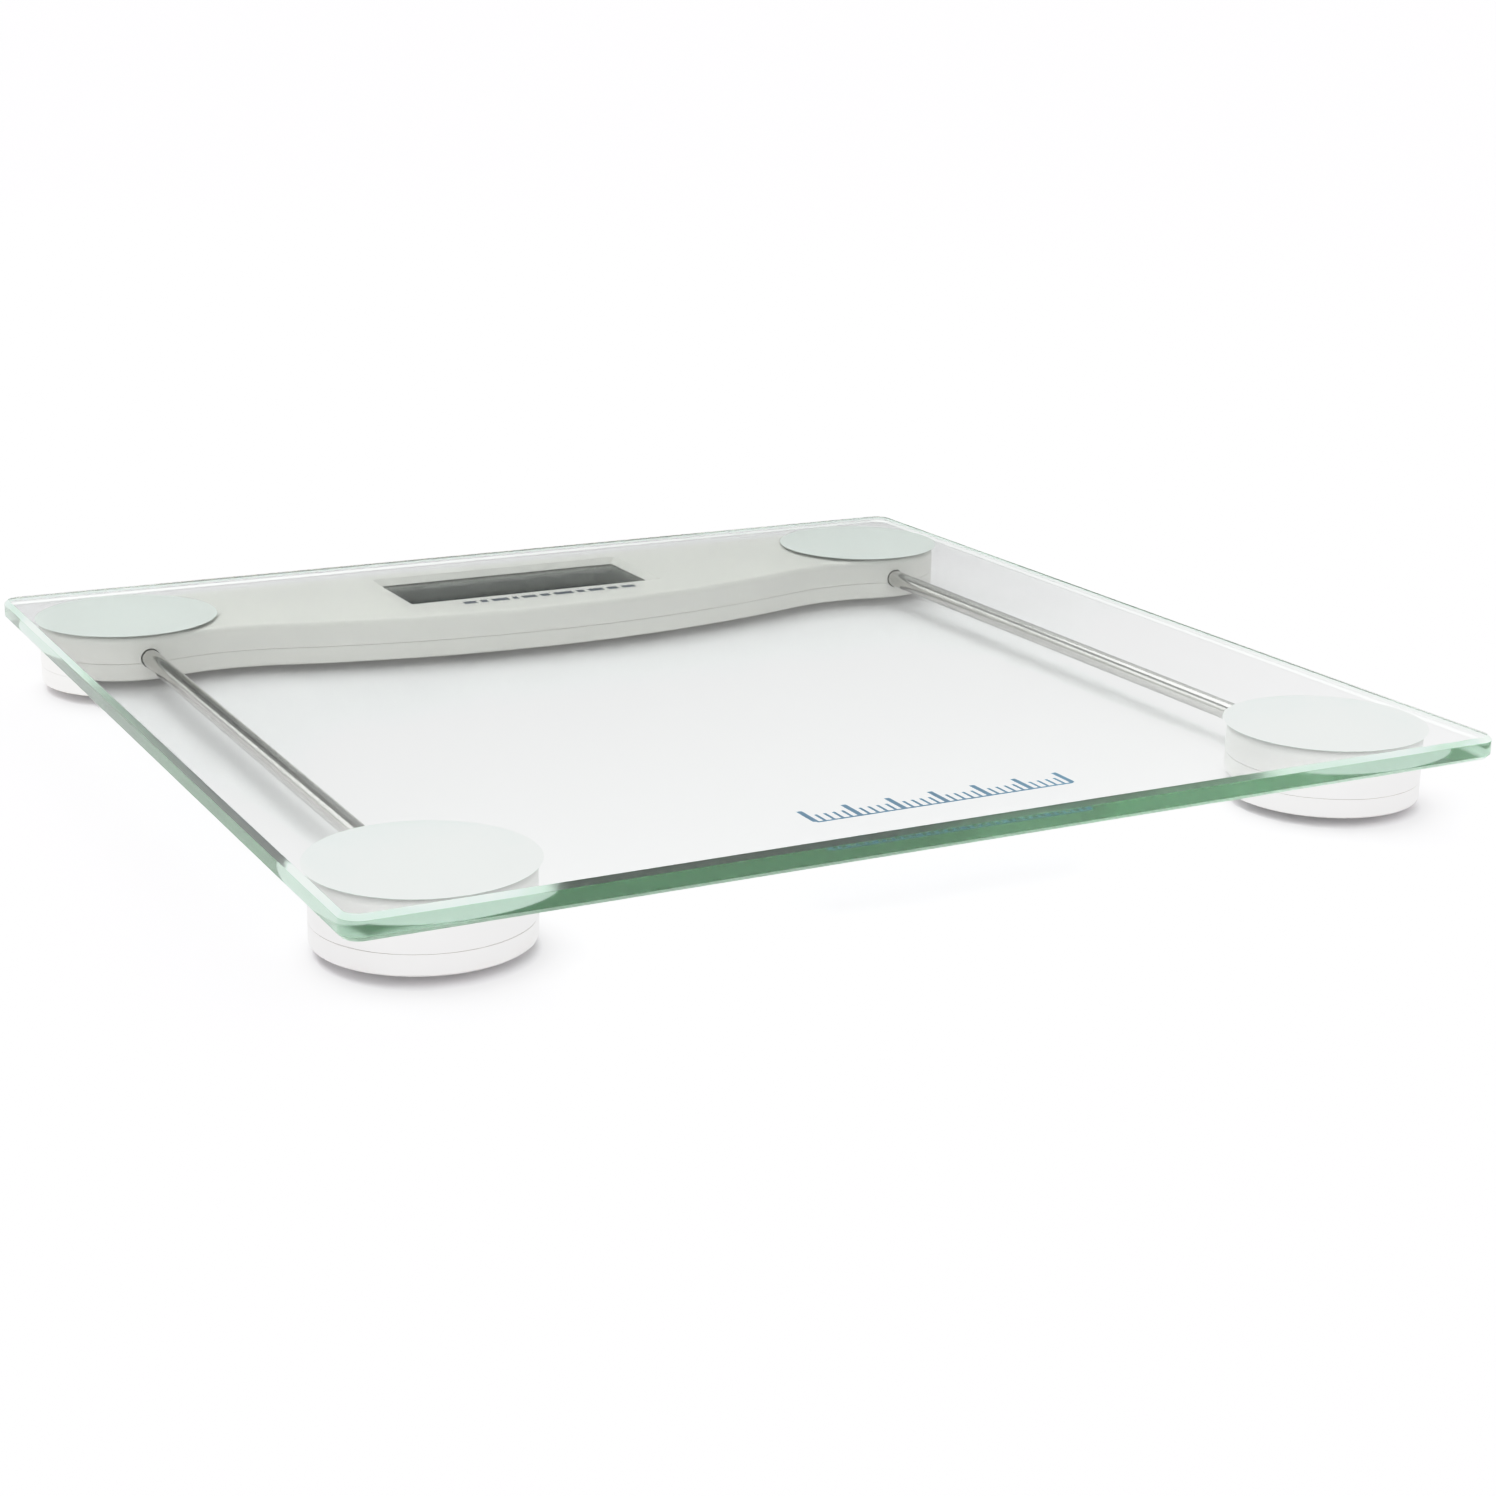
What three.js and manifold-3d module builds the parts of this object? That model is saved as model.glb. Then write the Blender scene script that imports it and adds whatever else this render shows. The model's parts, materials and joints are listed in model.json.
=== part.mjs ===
// Glass platform scale: a clear tempered glass platform on four round load-cell feet.
// The two back feet share one bar housing that also holds the display, and two steel
// tubes carry the front cells' cables back to it.
// Millimetres, +Z up, +X right, +Y towards the display side. The origin is on the floor
// under the middle of the platform.
import * as THREE from "three";
import { mergeVertices } from "three/addons/utils/BufferGeometryUtils.js";
import Module from "manifold-3d";

const wasm = await Module();
wasm.setup();

// ---------------------------------------------------------------- driving dimensions

const GLASS_SIDE = 306.4;
const GLASS_THICKNESS = 6;
const GLASS_CORNER = 5;
const GLASS_ARRIS = 1.2;

const SUPPORT_X = 124;
const SUPPORT_Y = 120.4;
const HOUSING_RADIUS = 25;
const DISC_RADIUS = 26.1;
const BOND_RADIUS = 22;

// Levels above the floor, from the feet up to the top of the glass.
const RUBBER_TOP = 1.6;
const SHELL_BOTTOM = 2.3;
const SHELL_FLOOR = 3.8;
const PARTING = 7.4;
const TUBE_LEVEL = 8.7;
const CELL_BOTTOM = 9.3;
const CELL_TOP = 10.5;
const SHELL_ROOF = 13.1;
const SHELL_TOP = 14.8;
const PRINT_BOTTOM = 15.7;
const GLASS_BOTTOM = 15.8;

const WALL = 2;
const TOP_EDGE = 1.2;
const BOTTOM_EDGE = 0.8;
// How deep a rib, rim or boss is sunk into the wall that it grows from.
const ROOT = 0.5;
// How far a cutting shape runs past the face that it opens.
const PAST = 1;

// The bar's front edge bulges forward in the middle and necks in beside each end.
const BAR_FRONT_Y = 83;
const BAR_BULGE_RADIUS = 300;
const BAR_NECK_RADIUS = 60;

const TUBE_RADIUS = 2.6;
const TUBE_WALL = 0.5;
const TUBE_END_Y = 98.5;
const TUBE_HOLE_RADIUS = 3.1;

const FOOT_RADIUS = 17.5;
const FOOT_OPENING_RADIUS = 18.2;
const FOOT_PLATE_TOP = 4;
const FOOT_HUB_RADIUS = 6;
const FOOT_PIN_RADIUS = 2.2;
const FOOT_PIN_TOP = 11.1;
const FOOT_TRAVEL = 0.8;
const RUBBER_RADIUS = 16.2;

const CELL_SIDE = 34;
const CELL_CORNER_CUT = 4;
const CELL_PIN_HOLE_RADIUS = 2.6;
const TONGUE = { halfWidth: 6.5, free: -9, root: 7, slot: 2 };
const GAUGE_SIZE = [8, 5.5, 0.4];
const PILLAR_RADIUS = 1.7;
const PILLAR_REACH = 14.3;

const DISPLAY_Y = 120.15;
const DISPLAY_OPENING = [84, 35.5];
const DISPLAY_SLOPE = 2.4;
const LENS_SIZE = [83, 34.5];
const LENS_BOTTOM = 12.1;
const LENS_GAP = 0.3;
const LENS_RIM = 1.2;
const LENS_RIM_BOTTOM = 9.9;

const BOARD_SIZE = [116, 31];
const BOARD_Y = 120.5;
const BOARD_BOTTOM = 6.3;
const BOARD_TOP = 7.5;
const CHIP_CENTRE = [-4, 118];

const DOOR_SIZE = [24, 26];
const DOOR_CENTRE = [-75, 118.5];
const DOOR_GAP = 0.35;
const POCKET_WALL = 1.2;
const POCKET_WALL_TOP = 7;
const NOTCH_RADIUS = 9;
const NOTCH_DEPTH = 0.8;
const GRIP = { length: 10, width: 0.8, pitch: 2, depth: 0.4, count: 3 };
const COIN_RADIUS = 10;
const COIN_LEVELS = [4.1, 7.3];

const BUTTON_CENTRE = [46, 122];
const BUTTON_SIZE = [9, 6];
const BUTTON_CORNER = 2;
const BUTTON_GAP = 0.3;
const BUTTON_FLANGE = 1;
const BUTTON_LEVELS = [2.6, 3.85, 4.15];
const BUTTON_TRAVEL = 0.5;
const SWITCH_SIDE = 6;
const PLUNGER_RADIUS = 1.5;
const PLUNGER_TOP = 5;

const BAR_SCREWS = [
  [-96, 111],
  [96, 111],
  [-96, 136],
  [96, 136],
  [-30, 91.5],
  [30, 91.5],
];
const FOOT_SCREW_REACH = 21;
// A screw's levels are its head's bottom, its shoulder and its tip.
const BAR_SCREW = { shank: 1.2, head: 2.4, boss: 3.8, levels: [2.8, 4, 11.8], driveWidth: 0.7 };
const FOOT_SCREW = { shank: 1, head: 1.6, boss: 2.4, levels: [2.7, 3.6, 11.8], driveWidth: 0.5 };
const SCREW_CLEARANCE = 0.15;
const SCREW_WALL = 1.4;
const CABLE_RADIUS = 1;

const SIDES = { left: -1, right: 1 };
const ENDS = { front: -1, back: 1 };

// ---------------------------------------------------------------- materials

const FINISHES = {
  clear_glass: { color: 0xd6efe4, roughness: 0.03, metalness: 0, opacity: 0.35, transparent: true },
  frosted_print: { color: 0xdce8e2, roughness: 0.55, metalness: 0 },
  bond_foam: { color: 0xf2f2ee, roughness: 0.8, metalness: 0 },
  housing_plastic: { color: 0xd7d9d2, roughness: 0.45, metalness: 0 },
  foot_plastic: { color: 0xf0eeec, roughness: 0.45, metalness: 0 },
  foot_steel: { color: 0xb4b4b1, roughness: 0.35, metalness: 1 },
  foot_rubber: { color: 0xc9c9c6, roughness: 0.85, metalness: 0 },
  tube_steel: { color: 0xb9b9b4, roughness: 0.28, metalness: 1 },
  cell_steel: { color: 0xa8a9a6, roughness: 0.4, metalness: 1 },
  gauge_film: { color: 0xd9b23c, roughness: 0.5, metalness: 0 },
  cable_jacket: { color: 0x2c2c2e, roughness: 0.6, metalness: 0 },
  board_laminate: { color: 0x1f6b45, roughness: 0.5, metalness: 0 },
  display_glass: { color: 0x555a58, roughness: 0.2, metalness: 0 },
  lens_acrylic: { color: 0xe4ebe6, roughness: 0.05, metalness: 0, opacity: 0.3, transparent: true },
  connector_rubber: { color: 0x3a3a3a, roughness: 0.8, metalness: 0 },
  chip_resin: { color: 0x141414, roughness: 0.35, metalness: 0 },
  coin_steel: { color: 0xc4c4c0, roughness: 0.3, metalness: 1 },
  contact_steel: { color: 0xd0cdc2, roughness: 0.3, metalness: 1 },
  button_plastic: { color: 0xbfc2c0, roughness: 0.5, metalness: 0 },
  screw_steel: { color: 0x8f9090, roughness: 0.35, metalness: 1 },
};

// ---------------------------------------------------------------- joins and cuts

function solidOf(geometry) {
  const bare = geometry.clone();
  bare.deleteAttribute("normal");
  bare.deleteAttribute("uv");
  const merged = mergeVertices(bare, 1e-4);
  return new wasm.Manifold(
    new wasm.Mesh({
      numProp: 3,
      vertProperties: merged.attributes.position.array,
      triVerts: new Uint32Array(merged.index.array),
    }),
  );
}

function geometryOf(solid) {
  const mesh = solid.getMesh();
  const geometry = new THREE.BufferGeometry();
  geometry.setAttribute("position", new THREE.BufferAttribute(mesh.vertProperties, 3));
  geometry.setIndex(new THREE.BufferAttribute(mesh.triVerts, 1));
  geometry.computeVertexNormals();
  return geometry;
}

function join(base, additions) {
  return geometryOf(additions.reduce((whole, piece) => whole.add(solidOf(piece)), solidOf(base)));
}

function cut(base, tools) {
  return geometryOf(tools.reduce((whole, tool) => whole.subtract(solidOf(tool)), solidOf(base)));
}

// ---------------------------------------------------------------- basic shapes

function box([xLow, xHigh], [yLow, yHigh], [zLow, zHigh]) {
  const geometry = new THREE.BoxGeometry(xHigh - xLow, yHigh - yLow, zHigh - zLow);
  return geometry.translate((xLow + xHigh) / 2, (yLow + yHigh) / 2, (zLow + zHigh) / 2);
}

// The X span and Y span of a rectangle round the point [x, y], with a margin on each side.
function around([x, y], [width, depth], margin) {
  return [
    [x - width / 2 - margin, x + width / 2 + margin],
    [y - depth / 2 - margin, y + depth / 2 + margin],
  ];
}

// An upright cylinder round the point [x, y].
function post([x, y], radius, [zLow, zHigh], sides = 16) {
  const geometry = new THREE.CylinderGeometry(radius, radius, zHigh - zLow, sides);
  return geometry.rotateX(Math.PI / 2).translate(x, y, (zLow + zHigh) / 2);
}

// A turned solid from [radius, level] pairs that run from the axis at the bottom, round
// the outside, to the axis at the top.
function turned(profile, sides = 32) {
  const points = profile.map(([radius, level]) => new THREE.Vector2(radius, level));
  return new THREE.LatheGeometry(points, sides).rotateX(Math.PI / 2);
}

function arc([x, y], radius, fromDegrees, toDegrees, steps) {
  return Array.from({ length: steps + 1 }, (_, i) => {
    const angle = THREE.MathUtils.degToRad(fromDegrees + ((toDegrees - fromDegrees) * i) / steps);
    return new THREE.Vector2(x + radius * Math.cos(angle), y + radius * Math.sin(angle));
  });
}

function roundedRectangle([width, depth], corner, steps = 4) {
  const x = width / 2 - corner;
  const y = depth / 2 - corner;
  return [
    ...arc([x, y], corner, 0, 90, steps),
    ...arc([-x, y], corner, 90, 180, steps),
    ...arc([-x, -y], corner, 180, 270, steps),
    ...arc([x, -y], corner, 270, 360, steps),
  ];
}

function prism(outline, [zLow, zHigh], holes = []) {
  const shape = new THREE.Shape(outline);
  shape.holes = holes.map((hole) => new THREE.Path(hole));
  const geometry = new THREE.ExtrudeGeometry(shape, { depth: zHigh - zLow, bevelEnabled: false });
  return geometry.translate(0, 0, zLow);
}

// A prism whose two end edges are eased by the same amount, inside the outline.
function easedPrism(outline, [zLow, zHigh], edge, bevelSegments = 1) {
  const geometry = new THREE.ExtrudeGeometry(new THREE.Shape(outline), {
    depth: zHigh - zLow - 2 * edge,
    bevelThickness: edge,
    bevelSize: edge,
    bevelOffset: -edge,
    bevelSegments,
  });
  return geometry.translate(0, 0, zLow + edge);
}

function cable(points, steps) {
  const path = new THREE.CatmullRomCurve3(points.map((point) => new THREE.Vector3(...point)));
  const section = new THREE.Shape(arc([0, 0], CABLE_RADIUS, 0, 360, 6).slice(0, -1));
  return new THREE.ExtrudeGeometry(section, { steps, extrudePath: path, bevelEnabled: false });
}

// ---------------------------------------------------------------- the bar's outline

// The neck's circle touches the end circle and the bulge circle from outside.
function neckCentre() {
  const toEnd = HOUSING_RADIUS + BAR_NECK_RADIUS;
  const toBulge = BAR_BULGE_RADIUS + BAR_NECK_RADIUS;
  const end = new THREE.Vector2(SUPPORT_X, SUPPORT_Y);
  const bulge = new THREE.Vector2(0, BAR_FRONT_Y + BAR_BULGE_RADIUS);
  const between = bulge.clone().sub(end);
  const span = between.length();
  const along = (toEnd ** 2 - toBulge ** 2 + span ** 2) / (2 * span);
  const aside = Math.sqrt(toEnd ** 2 - along ** 2);
  const direction = between.normalize();
  const sideways = new THREE.Vector2(-direction.y, direction.x);
  return end.addScaledVector(direction, along).addScaledVector(sideways, aside);
}

// The bar from above, counter-clockwise from its bottom right end, moved in by an inset.
function barOutline(inset) {
  const neck = neckCentre();
  const bulge = [0, BAR_FRONT_Y + BAR_BULGE_RADIUS];
  const degrees = (from, to) => THREE.MathUtils.radToDeg(Math.atan2(to[1] - from[1], to[0] - from[0]));
  const end = [SUPPORT_X, SUPPORT_Y];
  const touchEnd = degrees(end, [neck.x, neck.y]);
  const touchBulge = degrees(bulge, [neck.x, neck.y]);
  const rightEnd = arc(end, HOUSING_RADIUS - inset, touchEnd, 90, 24);
  const rightNeck = arc([neck.x, neck.y], BAR_NECK_RADIUS + inset, touchBulge + 180, touchEnd + 180, 6);
  const rightHalf = [...rightNeck.slice(0, -1), ...rightEnd];
  const leftHalf = rightHalf.map(({ x, y }) => new THREE.Vector2(-x, y)).reverse();
  const front = arc(bulge, BAR_BULGE_RADIUS - inset, -180 - touchBulge, touchBulge, 14).slice(1, -1);
  return [...rightHalf, ...leftHalf, ...front];
}

// ---------------------------------------------------------------- what the shells share

const OPEN_BELOW = SHELL_BOTTOM - PAST;

const at = (side, end) => [SIDES[side] * SUPPORT_X, ENDS[end] * SUPPORT_Y];

function cellPillars([x, y], levels) {
  return [-1, 1].flatMap((i) =>
    [-1, 1].map((j) => post([x + i * PILLAR_REACH, y + j * PILLAR_REACH], PILLAR_RADIUS, levels, 8)),
  );
}

// The hole that a tube enters, from well outside the wall to the tube's inner end.
function tubeHole(x, end) {
  const length = 12;
  const hole = new THREE.CylinderGeometry(TUBE_HOLE_RADIUS, TUBE_HOLE_RADIUS, length, 20);
  return hole.translate(x, ENDS[end] * (TUBE_END_Y + 2 - length / 2), TUBE_LEVEL);
}

// The tall half of a screwed joint hangs from the roof.
function hangingBoss(centre, screw) {
  return post(centre, screw.shank + SCREW_WALL, [PARTING, SHELL_ROOF + ROOT]);
}

// The short half stands on the floor, over the recess that takes the screw's head.
function standingBoss(centre, screw) {
  return post(centre, screw.boss, [SHELL_FLOOR - ROOT, PARTING]);
}

function pilotHole(centre, screw) {
  const tip = screw.levels[2];
  return post(centre, screw.shank + SCREW_CLEARANCE, [OPEN_BELOW, tip + 0.5], 12);
}

function headRecess(centre, screw) {
  const shoulder = screw.levels[1];
  return post(centre, screw.head + 2 * SCREW_CLEARANCE, [OPEN_BELOW, shoulder + SCREW_CLEARANCE]);
}

// ---------------------------------------------------------------- glass and its prints

function glassPlatform() {
  const outline = roundedRectangle([GLASS_SIDE, GLASS_SIDE], GLASS_CORNER, 5);
  return easedPrism(outline, [GLASS_BOTTOM, GLASS_BOTTOM + GLASS_THICKNESS], GLASS_ARRIS);
}

const frostedDisc = (centre) => post(centre, DISC_RADIUS, [PRINT_BOTTOM, GLASS_BOTTOM], 32);

const bondingPad = (centre) => post(centre, BOND_RADIUS, [SHELL_TOP, PRINT_BOTTOM], 24);

// ---------------------------------------------------------------- front feet

function footUpperShell([x, y]) {
  const shell = turned([
    [0, SHELL_ROOF],
    [HOUSING_RADIUS - WALL, SHELL_ROOF],
    [HOUSING_RADIUS - WALL, PARTING],
    [HOUSING_RADIUS, PARTING],
    [HOUSING_RADIUS, SHELL_TOP - TOP_EDGE],
    [HOUSING_RADIUS - 0.3 * TOP_EDGE, SHELL_TOP - 0.3 * TOP_EDGE],
    [HOUSING_RADIUS - TOP_EDGE, SHELL_TOP],
    [0, SHELL_TOP],
  ]).translate(x, y, 0);
  const screws = footScrewPlaces([x, y]);
  const inside = [
    ...cellPillars([x, y], [CELL_TOP, SHELL_ROOF + ROOT]),
    ...screws.map((place) => hangingBoss(place, FOOT_SCREW)),
  ];
  return cut(join(shell, inside), [
    tubeHole(x, "front"),
    ...screws.map((place) => pilotHole(place, FOOT_SCREW)),
  ]);
}

function footLowerShell([x, y]) {
  const shell = turned([
    [FOOT_OPENING_RADIUS, SHELL_FLOOR],
    [FOOT_OPENING_RADIUS, SHELL_BOTTOM],
    [HOUSING_RADIUS - BOTTOM_EDGE, SHELL_BOTTOM],
    [HOUSING_RADIUS, SHELL_BOTTOM + BOTTOM_EDGE],
    [HOUSING_RADIUS, PARTING],
    [HOUSING_RADIUS - WALL, PARTING],
    [HOUSING_RADIUS - WALL, SHELL_FLOOR],
    [FOOT_OPENING_RADIUS, SHELL_FLOOR],
  ]).translate(x, y, 0);
  const screws = footScrewPlaces([x, y]);
  const inside = [
    ...cellPillars([x, y], [SHELL_FLOOR - ROOT, CELL_BOTTOM]),
    ...screws.map((place) => standingBoss(place, FOOT_SCREW)),
  ];
  return cut(join(shell, inside), [
    tubeHole(x, "front"),
    ...screws.map((place) => pilotHole(place, FOOT_SCREW)),
    ...screws.map((place) => headRecess(place, FOOT_SCREW)),
  ]);
}

function footScrewPlaces([x, y]) {
  return [-1, 1].map((i) => [x + i * FOOT_SCREW_REACH, y]);
}

// ---------------------------------------------------------------- bar housing

const BAR_ENDS = [at("left", "back"), at("right", "back")];

// Everything behind the middle of the platform between two levels, to trim the bar with.
const barSlice = (levels) => box([-GLASS_SIDE, GLASS_SIDE], [0, GLASS_SIDE], levels);

function barUpperCover() {
  const whole = easedPrism(barOutline(0), [SHELL_BOTTOM, SHELL_TOP], TOP_EDGE, 2);
  const cavity = prism(barOutline(WALL), [OPEN_BELOW, SHELL_ROOF]);
  const shell = cut(whole, [cavity, barSlice([OPEN_BELOW, PARTING])]);
  const inside = [
    lensRim(),
    ...BAR_ENDS.flatMap((place) => cellPillars(place, [CELL_TOP, SHELL_ROOF + ROOT])),
    ...BAR_SCREWS.map((place) => hangingBoss(place, BAR_SCREW)),
  ];
  return cut(join(shell, inside), [
    displayRecess(),
    ...BAR_ENDS.map(([x]) => tubeHole(x, "back")),
    ...BAR_SCREWS.map((place) => pilotHole(place, BAR_SCREW)),
  ]);
}

// A box round the display's centre, as large as the lens with a margin on each side.
function displayBox(margin, levels) {
  return box(...around([0, DISPLAY_Y], LENS_SIZE, margin), levels);
}

function lensRim() {
  const outside = displayBox(LENS_GAP + LENS_RIM, [LENS_RIM_BOTTOM, SHELL_ROOF + ROOT]);
  return cut(outside, [displayBox(LENS_GAP, [LENS_RIM_BOTTOM - PAST, SHELL_ROOF])]);
}

// The window is cut straight through, and its sides slope outwards up to the opening.
function displayRecess() {
  const window = roundedRectangle(DISPLAY_OPENING.map((size) => size - 2 * DISPLAY_SLOPE), 0.6, 2);
  const funnel = new THREE.ExtrudeGeometry(new THREE.Shape(window), {
    depth: 1,
    bevelThickness: SHELL_TOP - SHELL_ROOF,
    bevelSize: DISPLAY_SLOPE,
    bevelSegments: 1,
  });
  const through = prism(window, [LENS_BOTTOM, SHELL_ROOF + 0.01]);
  return join(funnel.translate(0, 0, SHELL_TOP), [through]).translate(0, DISPLAY_Y, 0);
}

function barLowerCover() {
  const whole = easedPrism(barOutline(0), [SHELL_BOTTOM, SHELL_TOP], BOTTOM_EDGE, 2);
  const cavity = prism(barOutline(WALL), [SHELL_FLOOR, SHELL_TOP + PAST]);
  const shell = cut(whole, [cavity, barSlice([PARTING, SHELL_TOP + PAST])]);
  const inside = [
    doorPocketWall(),
    ...boardPosts(),
    ...BAR_ENDS.flatMap((place) => cellPillars(place, [SHELL_FLOOR - ROOT, CELL_BOTTOM])),
    ...BAR_SCREWS.map((place) => standingBoss(place, BAR_SCREW)),
  ];
  return cut(join(shell, inside), [
    doorOpening(),
    fingerNotch(),
    buttonOpening(),
    ...BAR_ENDS.map((place) => post(place, FOOT_OPENING_RADIUS, [OPEN_BELOW, SHELL_FLOOR + 0.1], 32)),
    ...BAR_ENDS.map(([x]) => tubeHole(x, "back")),
    ...BAR_SCREWS.map((place) => pilotHole(place, BAR_SCREW)),
    ...BAR_SCREWS.map((place) => headRecess(place, BAR_SCREW)),
  ]);
}

function boardPosts() {
  const reachX = BOARD_SIZE[0] / 2 - 4;
  const reachY = BOARD_SIZE[1] / 2 - 3;
  const levels = [SHELL_FLOOR - ROOT, BOARD_BOTTOM];
  return [-1, 1].flatMap((i) =>
    [-1, 1].map((j) => post([i * reachX, BOARD_Y + j * reachY], 2, levels, 10)),
  );
}

// ---------------------------------------------------------------- battery door and button

function doorPocketWall() {
  const levels = [SHELL_FLOOR - ROOT, POCKET_WALL_TOP];
  return box(...around(DOOR_CENTRE, DOOR_SIZE, DOOR_GAP + POCKET_WALL), levels);
}

function doorOpening() {
  return box(...around(DOOR_CENTRE, DOOR_SIZE, DOOR_GAP), [OPEN_BELOW, PARTING]);
}

// A shallow scoop beside the door's free edge, for a fingertip.
function fingerNotch() {
  const scoop = new THREE.SphereGeometry(NOTCH_RADIUS, 16, 10);
  const [x, y] = DOOR_CENTRE;
  return scoop.translate(x, y - DOOR_SIZE[1] / 2, SHELL_BOTTOM + NOTCH_DEPTH - NOTCH_RADIUS);
}

// The door's hinge edge is a half-round bead, so that it turns beside the cover's edge.
function batteryDoor() {
  const [xSpan, ySpan] = around(DOOR_CENTRE, DOOR_SIZE, 0);
  const bead = (SHELL_FLOOR - SHELL_BOTTOM) / 2;
  const profile = [
    new THREE.Vector2(ySpan[0], -bead),
    ...arc([ySpan[1] - bead, 0], bead, -90, 90, 8),
    new THREE.Vector2(ySpan[0], bead),
  ];
  const width = xSpan[1] - xSpan[0];
  const plate = new THREE.ExtrudeGeometry(new THREE.Shape(profile), { depth: width, bevelEnabled: false });
  // The profile is drawn in Y and Z, and extruded along X.
  const toPlace = new THREE.Matrix4().makeBasis(
    new THREE.Vector3(0, 1, 0),
    new THREE.Vector3(0, 0, 1),
    new THREE.Vector3(1, 0, 0),
  );
  plate.applyMatrix4(toPlace).translate(xSpan[0], 0, SHELL_BOTTOM + bead);
  const grips = Array.from({ length: GRIP.count }, (_, i) => {
    const centre = [DOOR_CENTRE[0], ySpan[0] + (i + 1.2) * GRIP.pitch];
    return box(...around(centre, [GRIP.length, GRIP.width], 0), [OPEN_BELOW, SHELL_BOTTOM + GRIP.depth]);
  });
  return cut(plate, grips);
}

function buttonPrism(margin, levels) {
  const size = BUTTON_SIZE.map((length) => length + 2 * margin);
  return prism(roundedRectangle(size, BUTTON_CORNER + margin / 2), levels).translate(...BUTTON_CENTRE, 0);
}

const buttonOpening = () => buttonPrism(BUTTON_GAP, [OPEN_BELOW, SHELL_FLOOR + 0.1]);

// A cap whose flange, above the opening, keeps it in the cover.
function unitButton() {
  const [bottom, flange, top] = BUTTON_LEVELS;
  return join(buttonPrism(0, [bottom, top]), [buttonPrism(BUTTON_FLANGE, [flange, top])]);
}

function unitSwitch() {
  const bottom = BUTTON_LEVELS[2] + BUTTON_TRAVEL + 0.1;
  const body = box(...around(BUTTON_CENTRE, [SWITCH_SIDE, SWITCH_SIDE], 0), [bottom, BOARD_BOTTOM]);
  const holeTop = PLUNGER_TOP + BUTTON_TRAVEL + 0.2;
  const plungerHole = post(BUTTON_CENTRE, PLUNGER_RADIUS + 0.2, [bottom - PAST, holeTop]);
  return cut(body, [plungerHole]);
}

const switchPlunger = () => post(BUTTON_CENTRE, PLUNGER_RADIUS, [BUTTON_LEVELS[2], PLUNGER_TOP]);

// ---------------------------------------------------------------- load cells and feet

// A stamped plate: a U-shaped slot frees a tongue, which the foot's pin presses.
function loadCell([x, y]) {
  const half = CELL_SIDE / 2;
  const edge = half - CELL_CORNER_CUT;
  const outline = [
    [half, edge],
    [edge, half],
    [-edge, half],
    [-half, edge],
    [-half, -edge],
    [-edge, -half],
    [edge, -half],
    [half, -edge],
  ].map((point) => new THREE.Vector2(...point));
  const { halfWidth: inner, free, root, slot: width } = TONGUE;
  const outer = inner + width;
  const slot = [
    [-outer, root],
    [-outer, free - width],
    [outer, free - width],
    [outer, root],
    [inner, root],
    [inner, free],
    [-inner, free],
    [-inner, root],
  ].map((point) => new THREE.Vector2(...point));
  const pinHole = arc([0, 0], CELL_PIN_HOLE_RADIUS, 0, 360, 16).slice(0, -1);
  return prism(outline, [CELL_BOTTOM, CELL_TOP], [slot, pinHole]).translate(x, y, 0);
}

// The gauge lies across the tongue's root.
function strainGauge([x, y]) {
  const [width, depth, thickness] = GAUGE_SIZE;
  return box(...around([x, y + TONGUE.root + 1.25], [width, depth], 0), [CELL_TOP, CELL_TOP + thickness]);
}

// A steel plate with a hub, whose pin passes through the tongue. At full load the hub's
// shoulder stops just short of the tongue.
function footCap([x, y]) {
  const shoulder = CELL_BOTTOM - FOOT_TRAVEL - 0.3;
  return turned(
    [
      [0, RUBBER_TOP],
      [FOOT_RADIUS, RUBBER_TOP],
      [FOOT_RADIUS, FOOT_PLATE_TOP],
      [FOOT_HUB_RADIUS, FOOT_PLATE_TOP],
      [FOOT_HUB_RADIUS, shoulder],
      [FOOT_PIN_RADIUS, shoulder],
      [FOOT_PIN_RADIUS, FOOT_PIN_TOP],
      [0, FOOT_PIN_TOP],
    ],
    28,
  ).translate(x, y, 0);
}

const rubberPad = (centre) => post(centre, RUBBER_RADIUS, [0, RUBBER_TOP], 28);

// ---------------------------------------------------------------- tubes, cables, screws

function tube(x) {
  const inner = TUBE_RADIUS - TUBE_WALL;
  const profile = [
    [inner, -TUBE_END_Y],
    [TUBE_RADIUS, -TUBE_END_Y],
    [TUBE_RADIUS, TUBE_END_Y],
    [inner, TUBE_END_Y],
    [inner, -TUBE_END_Y],
  ].map((point) => new THREE.Vector2(...point));
  return new THREE.LatheGeometry(profile, 20).translate(x, 0, TUBE_LEVEL);
}

// From the front cell's gauge, down into the tube, and out past the back foot to the board.
function frontCable(sign) {
  const x = sign * SUPPORT_X;
  return cable(
    [
      [x, -109, 11.75],
      [x, -106, 11.75],
      [x, -103, 11.8],
      [x, -100.8, 10.8],
      [x, -98.4, 9.5],
      [x, -95.5, TUBE_LEVEL],
      [x, 0, TUBE_LEVEL],
      [x, 96, TUBE_LEVEL],
      [x - sign * 0.4, 99.6, 8.5],
      [x - sign * 4, 101.6, 8.1],
      [x - sign * 14, 102, 7.7],
      [x - sign * 30, 102, 8.3],
      [x - sign * 48, 102.2, 8.9],
      [sign * 64, 105, 8.9],
      [sign * 54, 108.5, 8.8],
    ],
    60,
  );
}

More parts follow.
